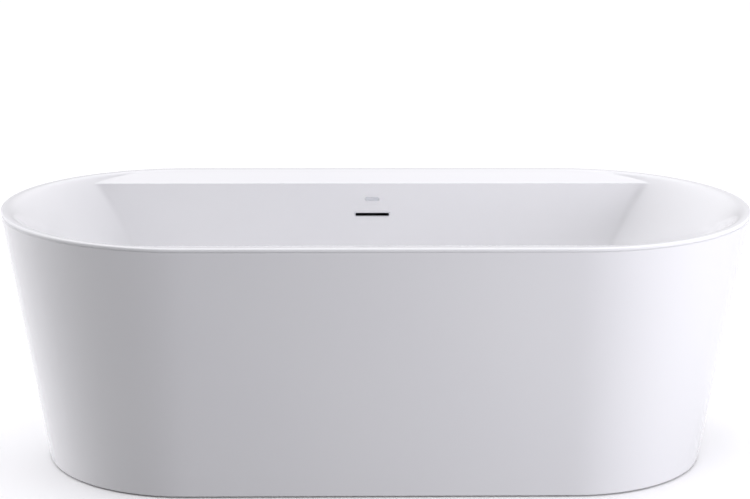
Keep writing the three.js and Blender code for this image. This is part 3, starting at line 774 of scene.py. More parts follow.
@dataclass
class Basin:
    """The inner shell: rim, ledges, walls, sloping ends and floor."""

    shape: TubShape
    hole: float = 25
    recess: float = 37
    recess_depth: float = 3
    slot_depth: float = 90
    slot_cutter: Point = (0.0812, 0.05, 0.0082)
    slot_corner: float = 0.003

    def rim_loops(self) -> list[list[Point]]:
        """Loops from the lip's underside, over the rim, to its inner edge.

        Returns:
            The loops' points, in metres.
        """
        s = self.shape
        lip = s.height - 8
        loops = [s.outer(lip, 8), s.outer(lip, 0.3), s.outer(lip + 0.3), s.outer(lip + 0.8)]
        for k in range(8):
            turn = math.radians(90 * k / 7)
            loops.append(s.outer(s.height - s.edge * (1 - math.sin(turn)), s.edge * (1 - math.cos(turn))))
        inner_edge = 5.0
        for k in range(8):
            turn = math.radians(90 * k / 7)
            depth = inner_edge * (1 - math.cos(turn))
            loops.append(s.inner(depth, inner_edge * (1 - math.sin(turn))))
        return loops

    @staticmethod
    def at(loop: list[Point], height: float) -> list[Point]:
        """The same plan at another height in millimetres."""
        return [(x, y, height * MM) for x, y, _ in loop]

    def wall_loops(self) -> list[list[Point]]:
        """Loops down the walls and round the floor's fillet.

        Returns:
            The loops' points, in metres.
        """
        s = self.shape
        top = s.depth - s.fillet
        depths = [6 + 0.9 * k for k in range(20)]
        depths += [depths[-1] + (top - depths[-1]) * k / 30 for k in range(1, 30)]
        loops = [s.inner(depth) for depth in depths]
        for k in range(17):
            turn = math.radians(90 * k / 16)
            depth = top + s.fillet * math.sin(turn)
            rise = s.fall * math.sin(turn) ** 2
            loops.append(s.inner(depth, -s.fillet * (1 - math.cos(turn)), s.height - depth + rise))
        return loops

    def floor_loops(self, rim_of_floor: list[Point]) -> list[list[Point]]:
        """Loops from the floor's edge to the drain hole.

        Args:
            rim_of_floor: The loop where the fillet ends.

        Returns:
            Loops across the floor, down into the recess and through the hole.
        """
        s = self.shape
        floor = s.height - s.depth
        circle = [(math.cos(t), math.sin(t)) for t in s.turns]
        loops = []
        for k in range(1, 13):
            share = (1 - k / 12) ** 1.3
            height = floor + 0.6 + (s.fall - 0.6) * share**1.4
            loops.append(
                [
                    (
                        c[0] * self.recess * MM * (1 - share) + p[0] * share,
                        c[1] * self.recess * MM * (1 - share) + p[1] * share, height * MM
                    )
                    for c, p in zip(circle, rim_of_floor)
                ]
            )
        for radius, height in (
            (self.recess - 0.5, floor + 0.3),
            (self.recess - 0.8, floor - 0.6),
            (self.recess - 0.9, floor - self.recess_depth),
            (self.hole, floor - self.recess_depth),
            (self.hole, s.underside),
            (self.recess + 30, s.underside),
        ):
            loops.append([(c[0] * radius * MM, c[1] * radius * MM, height * MM) for c in circle])
        return loops

    def back_loops(self) -> list[list[Point]]:
        """Loops along the underside, from the floor up to the lip.

        Returns:
            The loops' points, in metres.
        """
        s = self.shape
        top = s.depth - s.fillet
        loops = []
        for k in range(8, -1, -1):
            turn = math.radians(90 * k / 8)
            depth = top + s.fillet * math.sin(turn)
            loops.append(
                s.inner(
                    depth, s.shell - s.fillet * (1 - math.cos(turn)),
                    s.height - depth - s.shell * math.sin(turn)
                )
            )
        loops += [s.inner(depth, s.shell) for depth in (330, 270, 210, 150, 100, 60)]
        loops += [s.inner(depth, s.shell, s.height - depth - s.shell) for depth in (24, 18, 15, 12, 8)]
        return loops

    def build(self, shop: Workshop) -> None:
        """Makes the shell, cuts the overflow slot and dresses it.

        Args:
            shop: The workshop that holds the finishes.
        """
        walls = self.wall_loops()
        loops = self.rim_loops() + walls + self.floor_loops(walls[-1]) + self.back_loops()
        piece = Loft.build("basin_shell", loops, crease=40)
        self.cut_slot(piece)
        shop.finish_piece(piece, "acrylic", "tub", "inner_basin")

    def cut_slot(self, piece: bpy.types.Object) -> None:
        """Cuts the overflow slot through the long wall.

        Args:
            piece: The basin's shell.
        """
        low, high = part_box("overflow_trim")
        s = self.shape
        lean = math.atan(s.side_lean / (s.depth - s.ledge_drop))
        middle = Vector((0, (low.y + high.y) / 2, s.height * MM - self.slot_depth * MM))
        bpy.ops.object.select_all(action="DESELECT")
        bpy.ops.mesh.primitive_cube_add(
            size=1, location=middle, rotation=(-lean, 0, 0), scale=self.slot_cutter
        )
        cutter = bpy.context.object
        bpy.ops.object.transform_apply(location=True, rotation=True, scale=True)
        bpy.ops.object.mode_set(mode="EDIT")
        bpy.ops.mesh.select_all(action="DESELECT")
        edges = bmesh.from_edit_mesh(cutter.data)
        for edge in edges.edges:
            way = (edge.verts[0].co - edge.verts[1].co).normalized()
            edge.select = abs(way.x) < 0.1 and abs(way.y) > 0.9
        bmesh.update_edit_mesh(cutter.data)
        bpy.ops.mesh.bevel(offset=self.slot_corner, segments=6)
        bpy.ops.object.mode_set(mode="OBJECT")
        bpy.context.view_layer.objects.active = piece
        cut = piece.modifiers.new("slot", "BOOLEAN")
        cut.operation = "DIFFERENCE"
        cut.object = cutter
        bpy.ops.object.modifier_apply(modifier=cut.name)
        bpy.data.objects.remove(cutter)


@dataclass
class Skirt:
    """The outer skirt and the bead that bonds it under the rim's lip."""

    shape: TubShape
    wall: float = 6
    edge: float = 1.5
    top_edge: float = 0.3

    def build(self, shop: Workshop) -> None:
        """Makes and dresses both.

        Args:
            shop: The workshop that holds the finishes.
        """
        s = self.shape
        low, high = s.skirt_foot, s.skirt_top
        loops = [
            s.outer(low, self.wall), s.outer(low, self.edge),
            Basin.at(s.outer(low, self.edge * 0.3), low + self.edge * 0.3)
        ]
        foot, top = low + self.edge, high - self.top_edge
        loops += [s.outer(foot), s.outer(foot + 1)]
        loops += [s.outer(foot + (top - foot) * k / 12) for k in range(1, 12)]
        loops += [s.outer(top - 1), s.outer(top)]
        loops += [s.outer(high, self.top_edge), s.outer(high, self.wall)]
        loops += [s.outer(high + (low - high) * k / 4, self.wall) for k in range(1, 4)]
        piece = Loft.build("skirt_shell", loops, crease=50)
        shop.finish_piece(piece, "acrylic", "tub", "outer_skirt")
        foot, top = (corner.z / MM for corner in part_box("rim_bond_bead"))
        bead = Loft.build(
            "bond_bead", [s.outer(foot, 6), s.outer(foot, 0.1), s.outer(top, 0.1), s.outer(top, 6)]
        )
        shop.finish_piece(bead, "bond", "tub", "rim_bond_bead")


# ------------------------------------------------------------------ drain and overflow
def flat_ring(name: str, node: str, inner: float, outer: float) -> bpy.types.Object:
    """Makes a flat rubber ring with rounded edges.

    Args:
        name: The piece's name.
        node: The CAD node that gives its heights.
        inner: Its inner radius in millimetres.
        outer: Its outer radius.

    Returns:
        The finished object.
    """
    low, high = heights(node)
    edge = min((high - low) / 3, (outer - inner) / 4)
    ring = [(inner, low + edge), (inner + edge, low), (outer - edge, low), (outer, low + edge)]
    ring += [(outer, high - edge), (outer - edge, high), (inner + edge, high), (inner, high - edge)]
    return turned(name, ring)


@dataclass
class Drain:
    """The flange in the floor, the push-open cartridge and its plug. Radii and heights are in millimetres."""

    barrel: float = 23.5
    bore: float = 20.5
    barrel_end: float = 92
    lip: float = 35.5
    hole: float = 25
    spider: tuple[float, float] = (108, 116)
    arm: float = 4
    hub: float = 7.3
    thread_hole: float = 4.3
    thread: float = 4
    cartridge: float = 6.5
    cartridge_bore: float = 4.6
    seat: float = 119
    stem: float = 4.2
    cap: float = 30

    def build(self, shop: Workshop) -> None:
        """Makes and dresses every piece of the drain that is above the waste body.

        Args:
            shop: The workshop that holds the finishes.
        """
        shop.finish_piece(self.flange(), "chrome", "tub", "drain_flange")
        shop.finish_piece(
            flat_ring("flange_seal_ring", "drain_flange_seal", self.hole, 34), "rubber", "tub",
            "drain_flange_seal"
        )
        shop.finish_piece(self.cartridge_body(), "brass", "tub", "cartridge_body")
        shop.finish_piece(self.plug_cap(), "chrome", "plug", "plug_cap")
        shop.finish_piece(flat_ring("plug_seal_ring", "plug_seal", 5, 24.5), "rubber", "plug", "plug_seal")
        low, high = heights("plug_stem")
        pin = [
            (0, low), (self.stem - 0.5, low), (self.stem, low + 0.5), (self.stem, high - 3),
            (self.stem - 0.6, high - 2.4)
        ]
        pin += [(self.stem - 0.6, high - 1.6), (self.stem, high - 1), (self.stem, high), (0, high)]
        shop.finish_piece(turned("plug_pin", pin, sides=SMALL_SIDES), "brass", "plug", "plug_stem")

    def flange(self) -> bpy.types.Object:
        """Makes the flange: a rounded lip, a threaded barrel and the spider that holds the cartridge.

        Returns:
            The finished object.
        """
        low, high = self.spider
        under, top = heights("drain_flange_seal")[1] + 0.15, heights("drain_flange")[1]
        profile = [(self.bore, self.barrel_end), (self.barrel - 1, self.barrel_end)]
        profile += threads(self.barrel, 0.7, self.barrel_end + 0.6, 124, 1.8)
        profile += [(self.barrel, under), (self.lip - 0.5, under), (self.lip, under + 0.5)]
        profile += rounded_corner((self.lip - 1.9, top - 1.9), 1.9, 0, 90, 6)
        profile += [(28, top), (25.5, top - 0.25)] + rounded_corner(
            (self.bore + 2.6, top - 3.1), 2.6, 100, 180, 6
        )
        piece = turned("drain_flange_shell", profile, crease=28)
        hub = turned(
            "hub",
            [
                (self.thread_hole, low), (self.hub - 0.5, low), (self.hub, low + 0.5), (self.hub, high - 0.5),
                (self.hub - 0.5, high), (self.thread_hole, high)
            ],
            sides=SMALL_SIDES
        )
        reach = self.bore - (self.thread_hole + self.hub) / 2 + 1
        middle = (self.thread_hole + self.hub) / 2 + reach / 2
        for turn in range(4):
            place = Matrix.Rotation(turn * math.pi / 2, 4, "Z") @ Matrix.Translation(
                Vector((middle, -self.arm / 2, (low + high) / 2)) * MM
            )
            combined(hub, slab("arm", place, reach, high - low, self.arm, 0.6), "UNION")
        combined(piece, hub, "UNION")
        return sharpened(piece, 28)


    def cartridge_body(self) -> bpy.types.Object:
        """Makes the turned cartridge with its threaded foot and its bore.

        Returns:
            The finished object.
        """
        low, high = heights("cartridge_body")
        shoulder = self.spider[1] + 0.3
        profile = [(0, low), (self.thread - 0.5, low)]
        profile += threads(self.thread, 0.4, low + 0.5, shoulder - 1, 1)
        profile += [
            (self.thread, shoulder), (self.cartridge - 0.4, shoulder), (self.cartridge, shoulder + 0.4)
        ]
        for groove in (122, 126, 130):
            profile += [
                (self.cartridge, groove), (self.cartridge - 0.4, groove + 0.3),
                (self.cartridge - 0.4, groove + 0.9), (self.cartridge, groove + 1.2)
            ]
        profile += [
            (self.cartridge, high - 0.4), (self.cartridge - 0.4, high), (self.cartridge_bore + 0.2, high)
        ]
        profile += [(self.cartridge_bore, high - 0.3), (self.cartridge_bore, self.seat), (0, self.seat)]
        return turned("cartridge_turned", profile, sides=SMALL_SIDES, crease=28)

    def plug_cap(self) -> bpy.types.Object:
        """Makes the low dome that is pressed to open and close the drain.

        Returns:
            The finished object.
        """
        low, high = heights("plug_cap")
        radius = self.cap
        seat = heights("plug_seal")[1] + 0.15
        inside = radius - 2.5
        profile = [
            (0, seat), (inside, seat), (inside, low + 0.3), (inside + 0.4, low), (radius - 0.5, low),
            (radius, low + 0.5)
        ]
        profile += rounded_corner((radius - 2, seat + 1.2), 2, 0, 78, 7)
        crown_from = profile[-1][1]
        for k in range(1, 9):
            share = k / 8
            profile.append(
                (
                    (radius - 1.6) * (1 - share),
                    crown_from + (high - crown_from) * math.sin(share * math.pi / 2)
                )
            )
        return turned("plug_cap_dome", profile)


@dataclass
class Waste:
    """Below the floor: washer, waste body with its side port, slip nut, washer and tailpiece."""

    socket: float = 24
    outside: float = 29
    flange: float = 37
    neck_bore: float = 19.6
    neck: float = 22
    neck_end: float = 34
    neck_top: float = 78
    port_height: float = 66
    port_turn: float = 66
    tail: float = 19
    tail_bore: float = 17.5

    def build(self, shop: Workshop) -> None:
        """Makes and dresses them all.

        Args:
            shop: The workshop that holds the finishes.
        """
        shop.finish_piece(
            flat_ring("drain_washer_ring", "drain_washer", self.socket, self.flange), "rubber", "tub",
            "drain_washer"
        )
        shop.finish_piece(self.body(), "black_plastic", "tub", "waste_body")
        shop.finish_piece(self.nut(), "white_plastic", "tub", "outlet_nut")
        shop.finish_piece(
            flat_ring("outlet_washer_ring", "outlet_washer", self.tail + 0.3, self.neck), "rubber", "tub",
            "outlet_washer"
        )
        low, high = heights("tailpiece")
        pipe = [
            (self.tail_bore, low), (self.tail - 0.4, low), (self.tail, low + 0.4), (self.tail, low + 2),
            (self.tail - 0.3, low + 2.4)
        ]
        pipe += [
            (self.tail - 0.3, low + 3.6), (self.tail, low + 4), (self.tail, high - 0.4),
            (self.tail - 0.4, high), (self.tail_bore, high)
        ]
        shop.finish_piece(turned("tailpiece_pipe", pipe, crease=28), "chrome", "tub", "tailpiece")

    def body(self) -> bpy.types.Object:
        """Makes the moulded body: socket, flange, threaded neck and barbed side port.

        Returns:
            The finished object.
        """
        top = heights("waste_body")[1]
        profile = [
            (self.socket, top), (self.socket, self.neck_top + 8), (self.neck_bore, self.neck_top + 2),
            (self.neck_bore, self.neck_end)
        ]
        profile += [(self.neck - 0.8, self.neck_end)]
        profile += threads(self.neck, 0.7, self.neck_end + 0.5, 48, 2.4)
        profile += [(self.neck, self.neck_top), (self.outside, self.neck_top + 6), (self.outside, top - 7)]
        profile += rounded_corner((self.outside + 3, top - 7), 3, 180, 90, 4)
        profile += [
            (self.flange - 0.8, top - 4), (self.flange, top - 3.2), (self.flange, top - 0.6),
            (self.flange - 0.6, top)
        ]
        piece = turned("waste_body_shell", profile, crease=30)
        way = Matrix.Rotation(math.radians(self.port_turn), 4, "Z") @ Matrix.Rotation(math.pi / 2, 4, "Y")
        place = Matrix.Translation((0, 0, self.port_height * MM)) @ way
        branch = [(8, 20.8), (15, 20.8), (15, 32.6), (13.6, 34), (9.2, 34)]
        for barb in (36, 42, 48):
            branch += [(9.2, barb), (10, barb + 1), (9.4, barb + 5)]
        branch += [(9.4, 55.6), (8.8, 56.3), (8, 56.3)]
        spout = turned("port", branch, sides=64, crease=30)
        spout.data.transform(place)
        combined(piece, spout, "UNION")
        core = turned("core", [(0, 19), (7.9, 19), (7.9, 57), (0, 57)], sides=64)
        core.data.transform(place)
        combined(piece, core)
        return sharpened(piece, 30)

    def nut(self) -> bpy.types.Object:
        """Makes the slip nut with its gripping ribs.

        Returns:
            The finished object.
        """
        low, high = heights("outlet_nut")
        inner, outer, hole, floor = self.neck + 0.4, 29.0, self.neck_bore, low + 3.5
        ribs, sides = 16, 128
        rings = [
            (hole, low, 0), (outer - 1.4, low, 0), (outer, low + 1.4, 0), (outer, low + 2.4, 1),
            (outer, high - 2, 1)
        ]
        rings += [
            (outer, high - 1.2, 0), (outer - 0.8, high, 0), (inner, high, 0), (inner, floor, 0),
            (hole, floor, 0)
        ]

        def groove(turn: float) -> float:
            """How deep the grip is between the ribs in a direction, in millimetres."""
            return 1.3 * (0.5 + 0.5 * math.cos(ribs * turn)) ** 3

        loops = [
            around(sides, lambda t: radius - ribbed * groove(t), height) for radius, height, ribbed in rings
        ]
        return Loft.build("outlet_nut_ribbed", loops, crease=34)


@dataclass
class Feet:
    """Six levelling feet: a moulded pad, an M12 stud that turns, and the locknut under the rail."""

    pad: float = 25
    socket: float = 7.2
    stud: float = 6
    pitch: float = 1.75
    collar: float = 18
    collar_corner: float = 10.2
    across: float = 19

    def build(self, shop: Workshop) -> None:
        """Models one foot at the origin, and places a copy at each of the six.

        Args:
            shop: The workshop that holds the finishes.
        """
        pad, stud, nut = self.pad_piece(), self.stud_piece(), self.locknut()
        for number in range(1, 7):
            middle = middle_of(f"foot_{number}_pad")
            at = Vector((middle.x, middle.y, 0))
            for piece, part, slot, body in (
                (pad, "pad", "nylon", f"foot_{number}_pad"),
                (stud, "stud", "zinc_steel", f"foot_{number}_stud"),
                (nut, "locknut", "zinc_steel", "tub"),
            ):
                shop.finish_piece(
                    copied(piece, f"levelling_{part}_{number}", at), slot, body, f"foot_{number}_{part}"
                )
        for piece in (pad, stud, nut):
            bpy.data.objects.remove(piece)

    def pad_piece(self) -> bpy.types.Object:
        """Makes the pad: a rounded foot, a hollow neck with a snap lip, and stiffening ribs.

        Returns:
            The finished object.
        """
        edge, neck = self.pad, self.socket + 3
        profile = [
            (0, 0), (edge - 1.2, 0), (edge, 1.2), (edge, 3.2), (edge - 0.8, 4), (neck + 2, 9),
            (neck + 0.3, 11)
        ]
        profile += [
            (neck, 12), (neck, 15.2), (neck - 0.8, 16), (self.socket + 0.5, 16), (self.socket, 15.5),
            (self.socket, 6), (0, 6)
        ]
        piece = turned("pad", profile, sides=64, crease=30)
        for turn in range(8):
            place = Matrix.Rotation(turn * math.pi / 4, 4, "Z") @ Matrix.Translation(
                Vector((15, -0.9, 4.5)) * MM
            )
            combined(piece, slab("rib", place, 12, 5, 1.8, 0.3), "UNION")
        return sharpened(piece, 30)

    def stud_piece(self) -> bpy.types.Object:
        """Makes the stud: ball foot, hexagonal collar and a rolled thread.

        Returns:
            The finished object.
        """
        sides = 40
        low, high = heights("foot_1_stud")
        plain = [(0, low), (5.2, low), (6.4, low + 0.9), (6.8, 8.6), (6.8, 12.4), (6.2, 14), (5, 15), (5, 18)]
        rings: list[tuple[float, float, str]] = [(r, z, "round") for r, z in plain]
        rings += [
            (7.6, 18, "round"), (0, 18.9, "hex"), (0, 25.1, "hex"), (7.6, 26, "round"), (5.2, 26, "round")
        ]
        first, last = 27, high - 1.5
        steps = int((last - first) / (self.pitch / 6))
        rings += [(5.2, first + (last - first) * k / steps, "thread") for k in range(steps + 1)]
        rings += [(5.0, high - 0.6, "round"), (4.6, high, "round"), (0, high, "round")]

        def reach(turn: float, radius: float, height: float, kind: str) -> float:
            """The stud's radius in a direction at a height, in millimetres."""
            if kind == "hex":
                return min(hexagon(turn, self.collar / 2), self.collar_corner)
            if kind == "thread":
                wave = (height / self.pitch - turn / (2 * math.pi)) % 1
                fade = min(1.0, (height - first) / 2, (last - height) / 2)
                return radius + (self.stud - radius) * max(fade, 0) * min(1, 2.6 * abs(wave - 0.5))
            return radius

        loops = [around(sides, lambda t: reach(t, *ring), ring[1]) for ring in rings]
        return Loft.build("stud", loops, closed=False, crease=44)

    def locknut(self) -> bpy.types.Object:
        """Makes the chamfered hexagon nut.

        Returns:
            The finished object.
        """
        low, high = heights("foot_1_locknut")
        sides, half, bore = 72, self.across / 2, 6.3
        cones = [(bore, low + 0.4), (bore + 0.4, low), (9.4, low), (11, low + 1)]
        cones += [(11, high - 1), (9.4, high), (bore + 0.4, high), (bore, high - 0.4)]
        loops = [around(sides, lambda t: min(hexagon(t, half), cone), height) for cone, height in cones]
        return Loft.build("nut", loops, crease=24)


@dataclass
class Frame:
    """The galvanised frame under the tub, its plywood board and the blocks bonded to the skirt."""

    side: float = 30
    corner: float = 3.2
    wall: float = 2
    boss: float = 11
    bore: float = 6.3

    def build(self, shop: Workshop) -> None:
        """Makes and dresses the tubes, the board and the blocks.

        Args:
            shop: The workshop that holds the finishes.
        """
        for name in frame["nodes"]:
            if name.startswith(("frame_rail", "frame_cross", "outrigger")):
                shop.finish_piece(self.tube(name), "frame_steel", "tub", name)
            elif name.startswith("skirt_block"):
                low, high = (Vector(corner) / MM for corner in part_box(name))
                size = high - low
                place = Matrix.Translation(Vector(((low.x + high.x) / 2, low.y, (low.z + high.z) / 2)) * MM)
                shop.finish_piece(
                    slab(f"{name}_ply", place, size.x, size.z, size.y, 1.2), "plywood", "tub", name
                )
        shop.finish_piece(self.board(), "plywood", "tub", "base_board")

    def tube(self, name: str) -> bpy.types.Object:
        """Makes one square tube with rounded corners, and its welded bosses if it is a rail.

        Args:
            name: The CAD node.

        Returns:
            The tube in its place.
        """
        low, high = (Vector(corner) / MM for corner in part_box(name))
        along_x = high.x - low.x > high.y - low.y
        length = high.x - low.x if along_x else high.y - low.y
        middle = Vector(((low.x + high.x) / 2, (low.y + high.y) / 2, high.z - self.side / 2)) * MM
        place = Matrix.Translation(middle) @ Matrix.Rotation(-math.pi / 2 if along_x else 0, 4, "Z")
        s, inner, half = self.side, self.side - 2 * self.wall, length / 2
        rings = [
            (s, s, self.corner, -half), (s, s, self.corner, half), (inner, inner, self.corner - 1.6, half),
            (inner, inner, self.corner - 1.6, -half)
        ]
        piece = lofted(f"{name}_tube", rings, place)
        if "rail" in name:
            foot, joint = low.z, high.z - self.side
            for number in range(1, 7):
                at = middle_of(f"foot_{number}_pad")
                if abs(at.y - middle.y) > 0.05:
                    continue
                centre = (at.x, at.y, 0)
                bead = [(13.6, joint + 0.4), (13.6, joint - 0.4), (12.6, joint - 1.7), (11.2, joint - 2.4)]
                profile = [(0, foot), (self.boss - 0.6, foot), (self.boss, foot + 0.6)]
                profile += bead[::-1] + [(0, joint + 0.4)]
                combined(piece, turned("boss", profile, centre, sides=SMALL_SIDES), "UNION")
                bore = [(0, foot - 1), (self.bore, foot - 1), (self.bore, joint + 4), (0, joint + 4)]
                combined(piece, turned("bore", bore, centre, sides=SMALL_SIDES))
            sharpened(piece, 35)
        return piece

    def board(self) -> bpy.types.Object:
        """Makes the board with eased edges and the hole round the waste.

        Returns:
            The finished object.
        """
        low, high = (Vector(corner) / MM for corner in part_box("base_board"))
        size = high - low
        place = Matrix.Translation(Vector((0, 0, low.z)) * MM) @ Matrix.Rotation(math.pi / 2, 4, "X")
        piece = slab("board_ply", place, size.x, size.y, size.z, 1)
        combined(
            piece, turned("opening", [(0, low.z - 5), (48, low.z - 5), (48, high.z + 5), (0, high.z + 5)])
        )
        return sharpened(piece, 30)


@dataclass
class Overflow:
    """The slot's chrome frame, the plain badge above it, and the box, screws and hose behind it."""

    shape: TubShape
    slot: tuple[float, float] = (79, 6)
    sleeve: float = 0.8
    lip: float = 1.8
    lip_thickness: float = 0.9
    slot_depth: float = 90
    screw_reach: float = 58

    def place(self, depth: float) -> Matrix:
        """Finds the plane of the long wall's inner face, with its own Y into the wall.

        Args:
            depth: Depth below the rim's top, in millimetres.

        Returns:
            The plane's axes.
        """
        s = self.shape
        lean = math.atan(s.side_lean / (s.depth - s.ledge_drop))
        across = s.wall_top - (depth - s.ledge_drop) * math.tan(lean)
        return Matrix.Translation(Vector((0, across, s.height - depth)) * MM) @ Matrix.Rotation(-lean, 4, "X")

    def build(self, shop: Workshop) -> None:
        """Makes and dresses the frame and the badge.

        Args:
            shop: The workshop that holds the finishes.
        """
        length, height = self.slot
        s, lip = self.sleeve, self.lip
        face, out = -0.3, -0.3 - self.lip_thickness
        rings = [
            (length, height, 2.4, 7),
            (length, height, 2.4, out + 0.5),
            (length + 0.3, height + 0.3, 2.6, out + 0.15),
            (length + 1.0, height + 1.0, 2.9, out),
            (length + 2 * (s + lip) - 0.8, height + 2 * (s + lip) - 0.8, 3.7, out),
            (length + 2 * (s + lip) - 0.2, height + 2 * (s + lip) - 0.2, 3.9, out + 0.25),
            (length + 2 * (s + lip), height + 2 * (s + lip), 4, face),
            (length + 2 * s, height + 2 * s, 3, face),
            (length + 2 * s, height + 2 * s, 3, 7),
        ]
        shop.finish_piece(
            lofted("overflow_frame", rings, self.place(self.slot_depth)), "chrome", "tub", "overflow_trim"
        )
        long, tall = 34.0, 8.0
        pill = [
            (0.4, 0.4, 0.19, face), (long - 0.2, tall - 0.2, tall / 2 - 0.11, face),
            (long, tall, tall / 2 - 0.01, face - 0.2)
        ]
        pill += [
            (long - 0.1, tall - 0.1, tall / 2 - 0.06, face - 0.7),
            (long - 0.6, tall - 0.6, tall / 2 - 0.31, face - 1.0), (0.4, 0.4, 0.19, face - 1.0)
        ]
        shop.finish_piece(lofted("blank_badge", pill, self.place(54)), "chrome", "tub", "plain_badge")
        shop.finish_piece(self.box(), "black_plastic", "tub", "overflow_box")
        shop.finish_piece(self.gasket(), "rubber", "tub", "overflow_gasket")
        for side, name in ((-1, "left"), (1, "right")):
            shop.finish_piece(self.screw(side, name), "zinc_steel", "tub", f"overflow_screw_{name}")
        shop.finish_piece(
            softened("overflow_hose", "overflow_hose_line", 2), "white_plastic", "tub", "overflow_hose"
        )
        upper = self.place(self.slot_depth) @ Matrix.Translation(Vector((25, 28, -39.3)) * MM)
        shop.finish_piece(self.clamp("clamp_upper", upper), "zinc_steel", "tub", "hose_clamp_upper")
        turn = math.radians(Waste().port_turn)
        axis = Vector((math.cos(turn), math.sin(turn), 0))
        lower = Matrix.Translation((axis * 45.3 + Vector((0, 0, Waste().port_height))) * MM)
        lower = lower @ Vector((0, 0, 1)).rotation_difference(axis).to_matrix().to_4x4()
        shop.finish_piece(self.clamp("clamp_lower", lower), "zinc_steel", "tub", "hose_clamp_lower")

    def behind(self) -> Matrix:
        """The box's own middle, 8 mm below the slot's."""
        return self.place(self.slot_depth) @ Matrix.Translation((0, 0, -8 * MM))

    def screw_place(self, side: int) -> Matrix:
        """Finds a screw's axis, pointing into the wall.

        Args:
            side: -1 for the left screw and 1 for the right one.

        Returns:
            The screw's own axes.
        """
        reach = Matrix.Translation((side * self.screw_reach * MM, 0, 0))
        return self.behind() @ reach @ Matrix.Rotation(-math.pi / 2, 4, "X")

    def box(self) -> bpy.types.Object:
        """Makes the moulded box behind the slot, with its barbed spout and screw holes.

        Returns:
            The finished object.
        """
        rings = [
            (98, 34, 4, 41.6), (98, 34, 4, 10.6), (124, 40, 6, 10.6), (124, 40, 6, 13.1),
            (123, 39, 5.5, 13.6), (106, 39.4, 6, 13.6)
        ]
        rings += [(104, 40, 6, 14.6), (104, 40, 6, 42.2), (103, 39, 5.5, 44), (101, 37, 4.5, 44.6)]
        piece = capped(lofted("overflow_housing", rings, self.behind(), closed=False))
        profile = [(6, -26.5), (10, -26.5), (10, -30), (9.3, -31)]
        for barb in (-34, -40, -46):
            profile += [(9.3, barb), (10, barb - 0.6), (9.4, barb - 3.5)]
        profile += [(9.4, -49.6), (9, -50), (6, -50)]
        spout = turned("spout", profile[::-1], sides=64)
        spout.data.transform(self.place(self.slot_depth) @ Matrix.Translation(Vector((25, 28, 0)) * MM))
        combined(piece, spout, "UNION")
        bore = turned("bore", [(0, -51), (8, -51), (8, -24), (0, -24)], sides=64)
        bore.data.transform(self.place(self.slot_depth) @ Matrix.Translation(Vector((25, 28, 0)) * MM))
        combined(piece, bore)
        for side in (-1, 1):
            hole = turned("hole", [(0, 9), (2.3, 9), (2.3, 15), (0, 15)], sides=32)
            hole.data.transform(self.screw_place(side))
            combined(piece, hole)
        return sharpened(piece, 35)

    def gasket(self) -> bpy.types.Object:
        """Makes the flat gasket with its window.

        Returns:
            The finished object.
        """
        rings = [(103.4, 39.4, 5.7, 8.3), (104, 40, 6, 8.6), (104, 40, 6, 10), (103.4, 39.4, 5.7, 10.3)]
        piece = capped(lofted("overflow_seal", rings, self.behind(), closed=False))
        window = capped(
            lofted("window", [(87, 18, 4, 7), (87, 18, 4, 12)], self.place(self.slot_depth), closed=False)
        )
        combined(piece, window)
        return sharpened(piece, 35)

    def screw(self, side: int, name: str) -> bpy.types.Object:
        """Makes a pan head screw with a cross recess.

        Args:
            side: -1 or 1 along X.
            name: Which of the two.

        Returns:
            The screw in its place.
        """
        profile = [(0, 8.3), (1.5, 8.3), (2, 9), (2, 13.9), (3.8, 13.9), (4, 14.2), (4, 15)]
        profile += [(3.6, 15.7), (2.8, 16.2), (1.6, 16.4), (0, 16.4)]
        piece = turned(f"overflow_fixing_{name}", profile, sides=SMALL_SIDES)
        for turn in (0, math.pi / 2):
            across = Matrix.Rotation(turn, 4, "Z") @ Matrix.Translation(Vector((0, -0.4, 16)) * MM)
            combined(piece, slab("recess", across, 4, 1.8, 0.8, 0.15))
        piece.data.transform(self.screw_place(side))
        return sharpened(piece, 35)

    def clamp(self, name: str, place: Matrix) -> bpy.types.Object:
        """Makes a worm-drive clamp: its band, the screw's housing and the screw's slotted end.

        Args:
            name: The piece's name.
            place: Its axes, with Z along the hose.

        Returns:
            The clamp in its place.
        """
        band = [(14.3, -4.5), (15.1, -4.5), (15.5, -4.1), (15.5, 4.1), (15.1, 4.5), (14.3, 4.5)]
        piece = turned(name, band, sides=80)
        combined(
            piece, slab("housing", Matrix.Translation(Vector((0, 14.6, 0)) * MM), 12.6, 9, 5.4, 1.4), "UNION"
        )
        combined(piece, turned("clear", [(0, -9), (14.3, -9), (14.3, 9), (0, 9)], sides=80))
        combined(piece, slab("groove", Matrix.Translation(Vector((6.3, 16.9, 0)) * MM), 1.6, 5, 0.8, 0.1))
        piece.data.transform(place)
        return sharpened(piece, 35)


# ------------------------------------------------------------------ studio
@dataclass(frozen=True)
class Glow:
    """A broad soft patch of the surround, as a large window or a pale wall gives."""

    towards: Point
    strength: float
    spread: float


@dataclass(frozen=True)
class SoftBox:
    """A square soft box that faces the tub."""

    place: Point
    side: float
    power: float
    tint: str = "f9f8ff"

    def build(self, name: str) -> None:
        """Adds the light.

        Args:
            name: The light's name.
        """
        data = bpy.data.lights.new(name, "AREA")
        data.size, data.energy = self.side, self.power
        data.color = linear(self.tint)[:3]
        light = bpy.data.objects.new(name, data)
        light.location = self.place
        light.visible_glossy = False
        light.rotation_euler = (Vector((0, 0, 0.3)) - Vector(self.place)).to_track_quat("-Z", "Y").to_euler()
        bpy.context.scene.collection.objects.link(light)


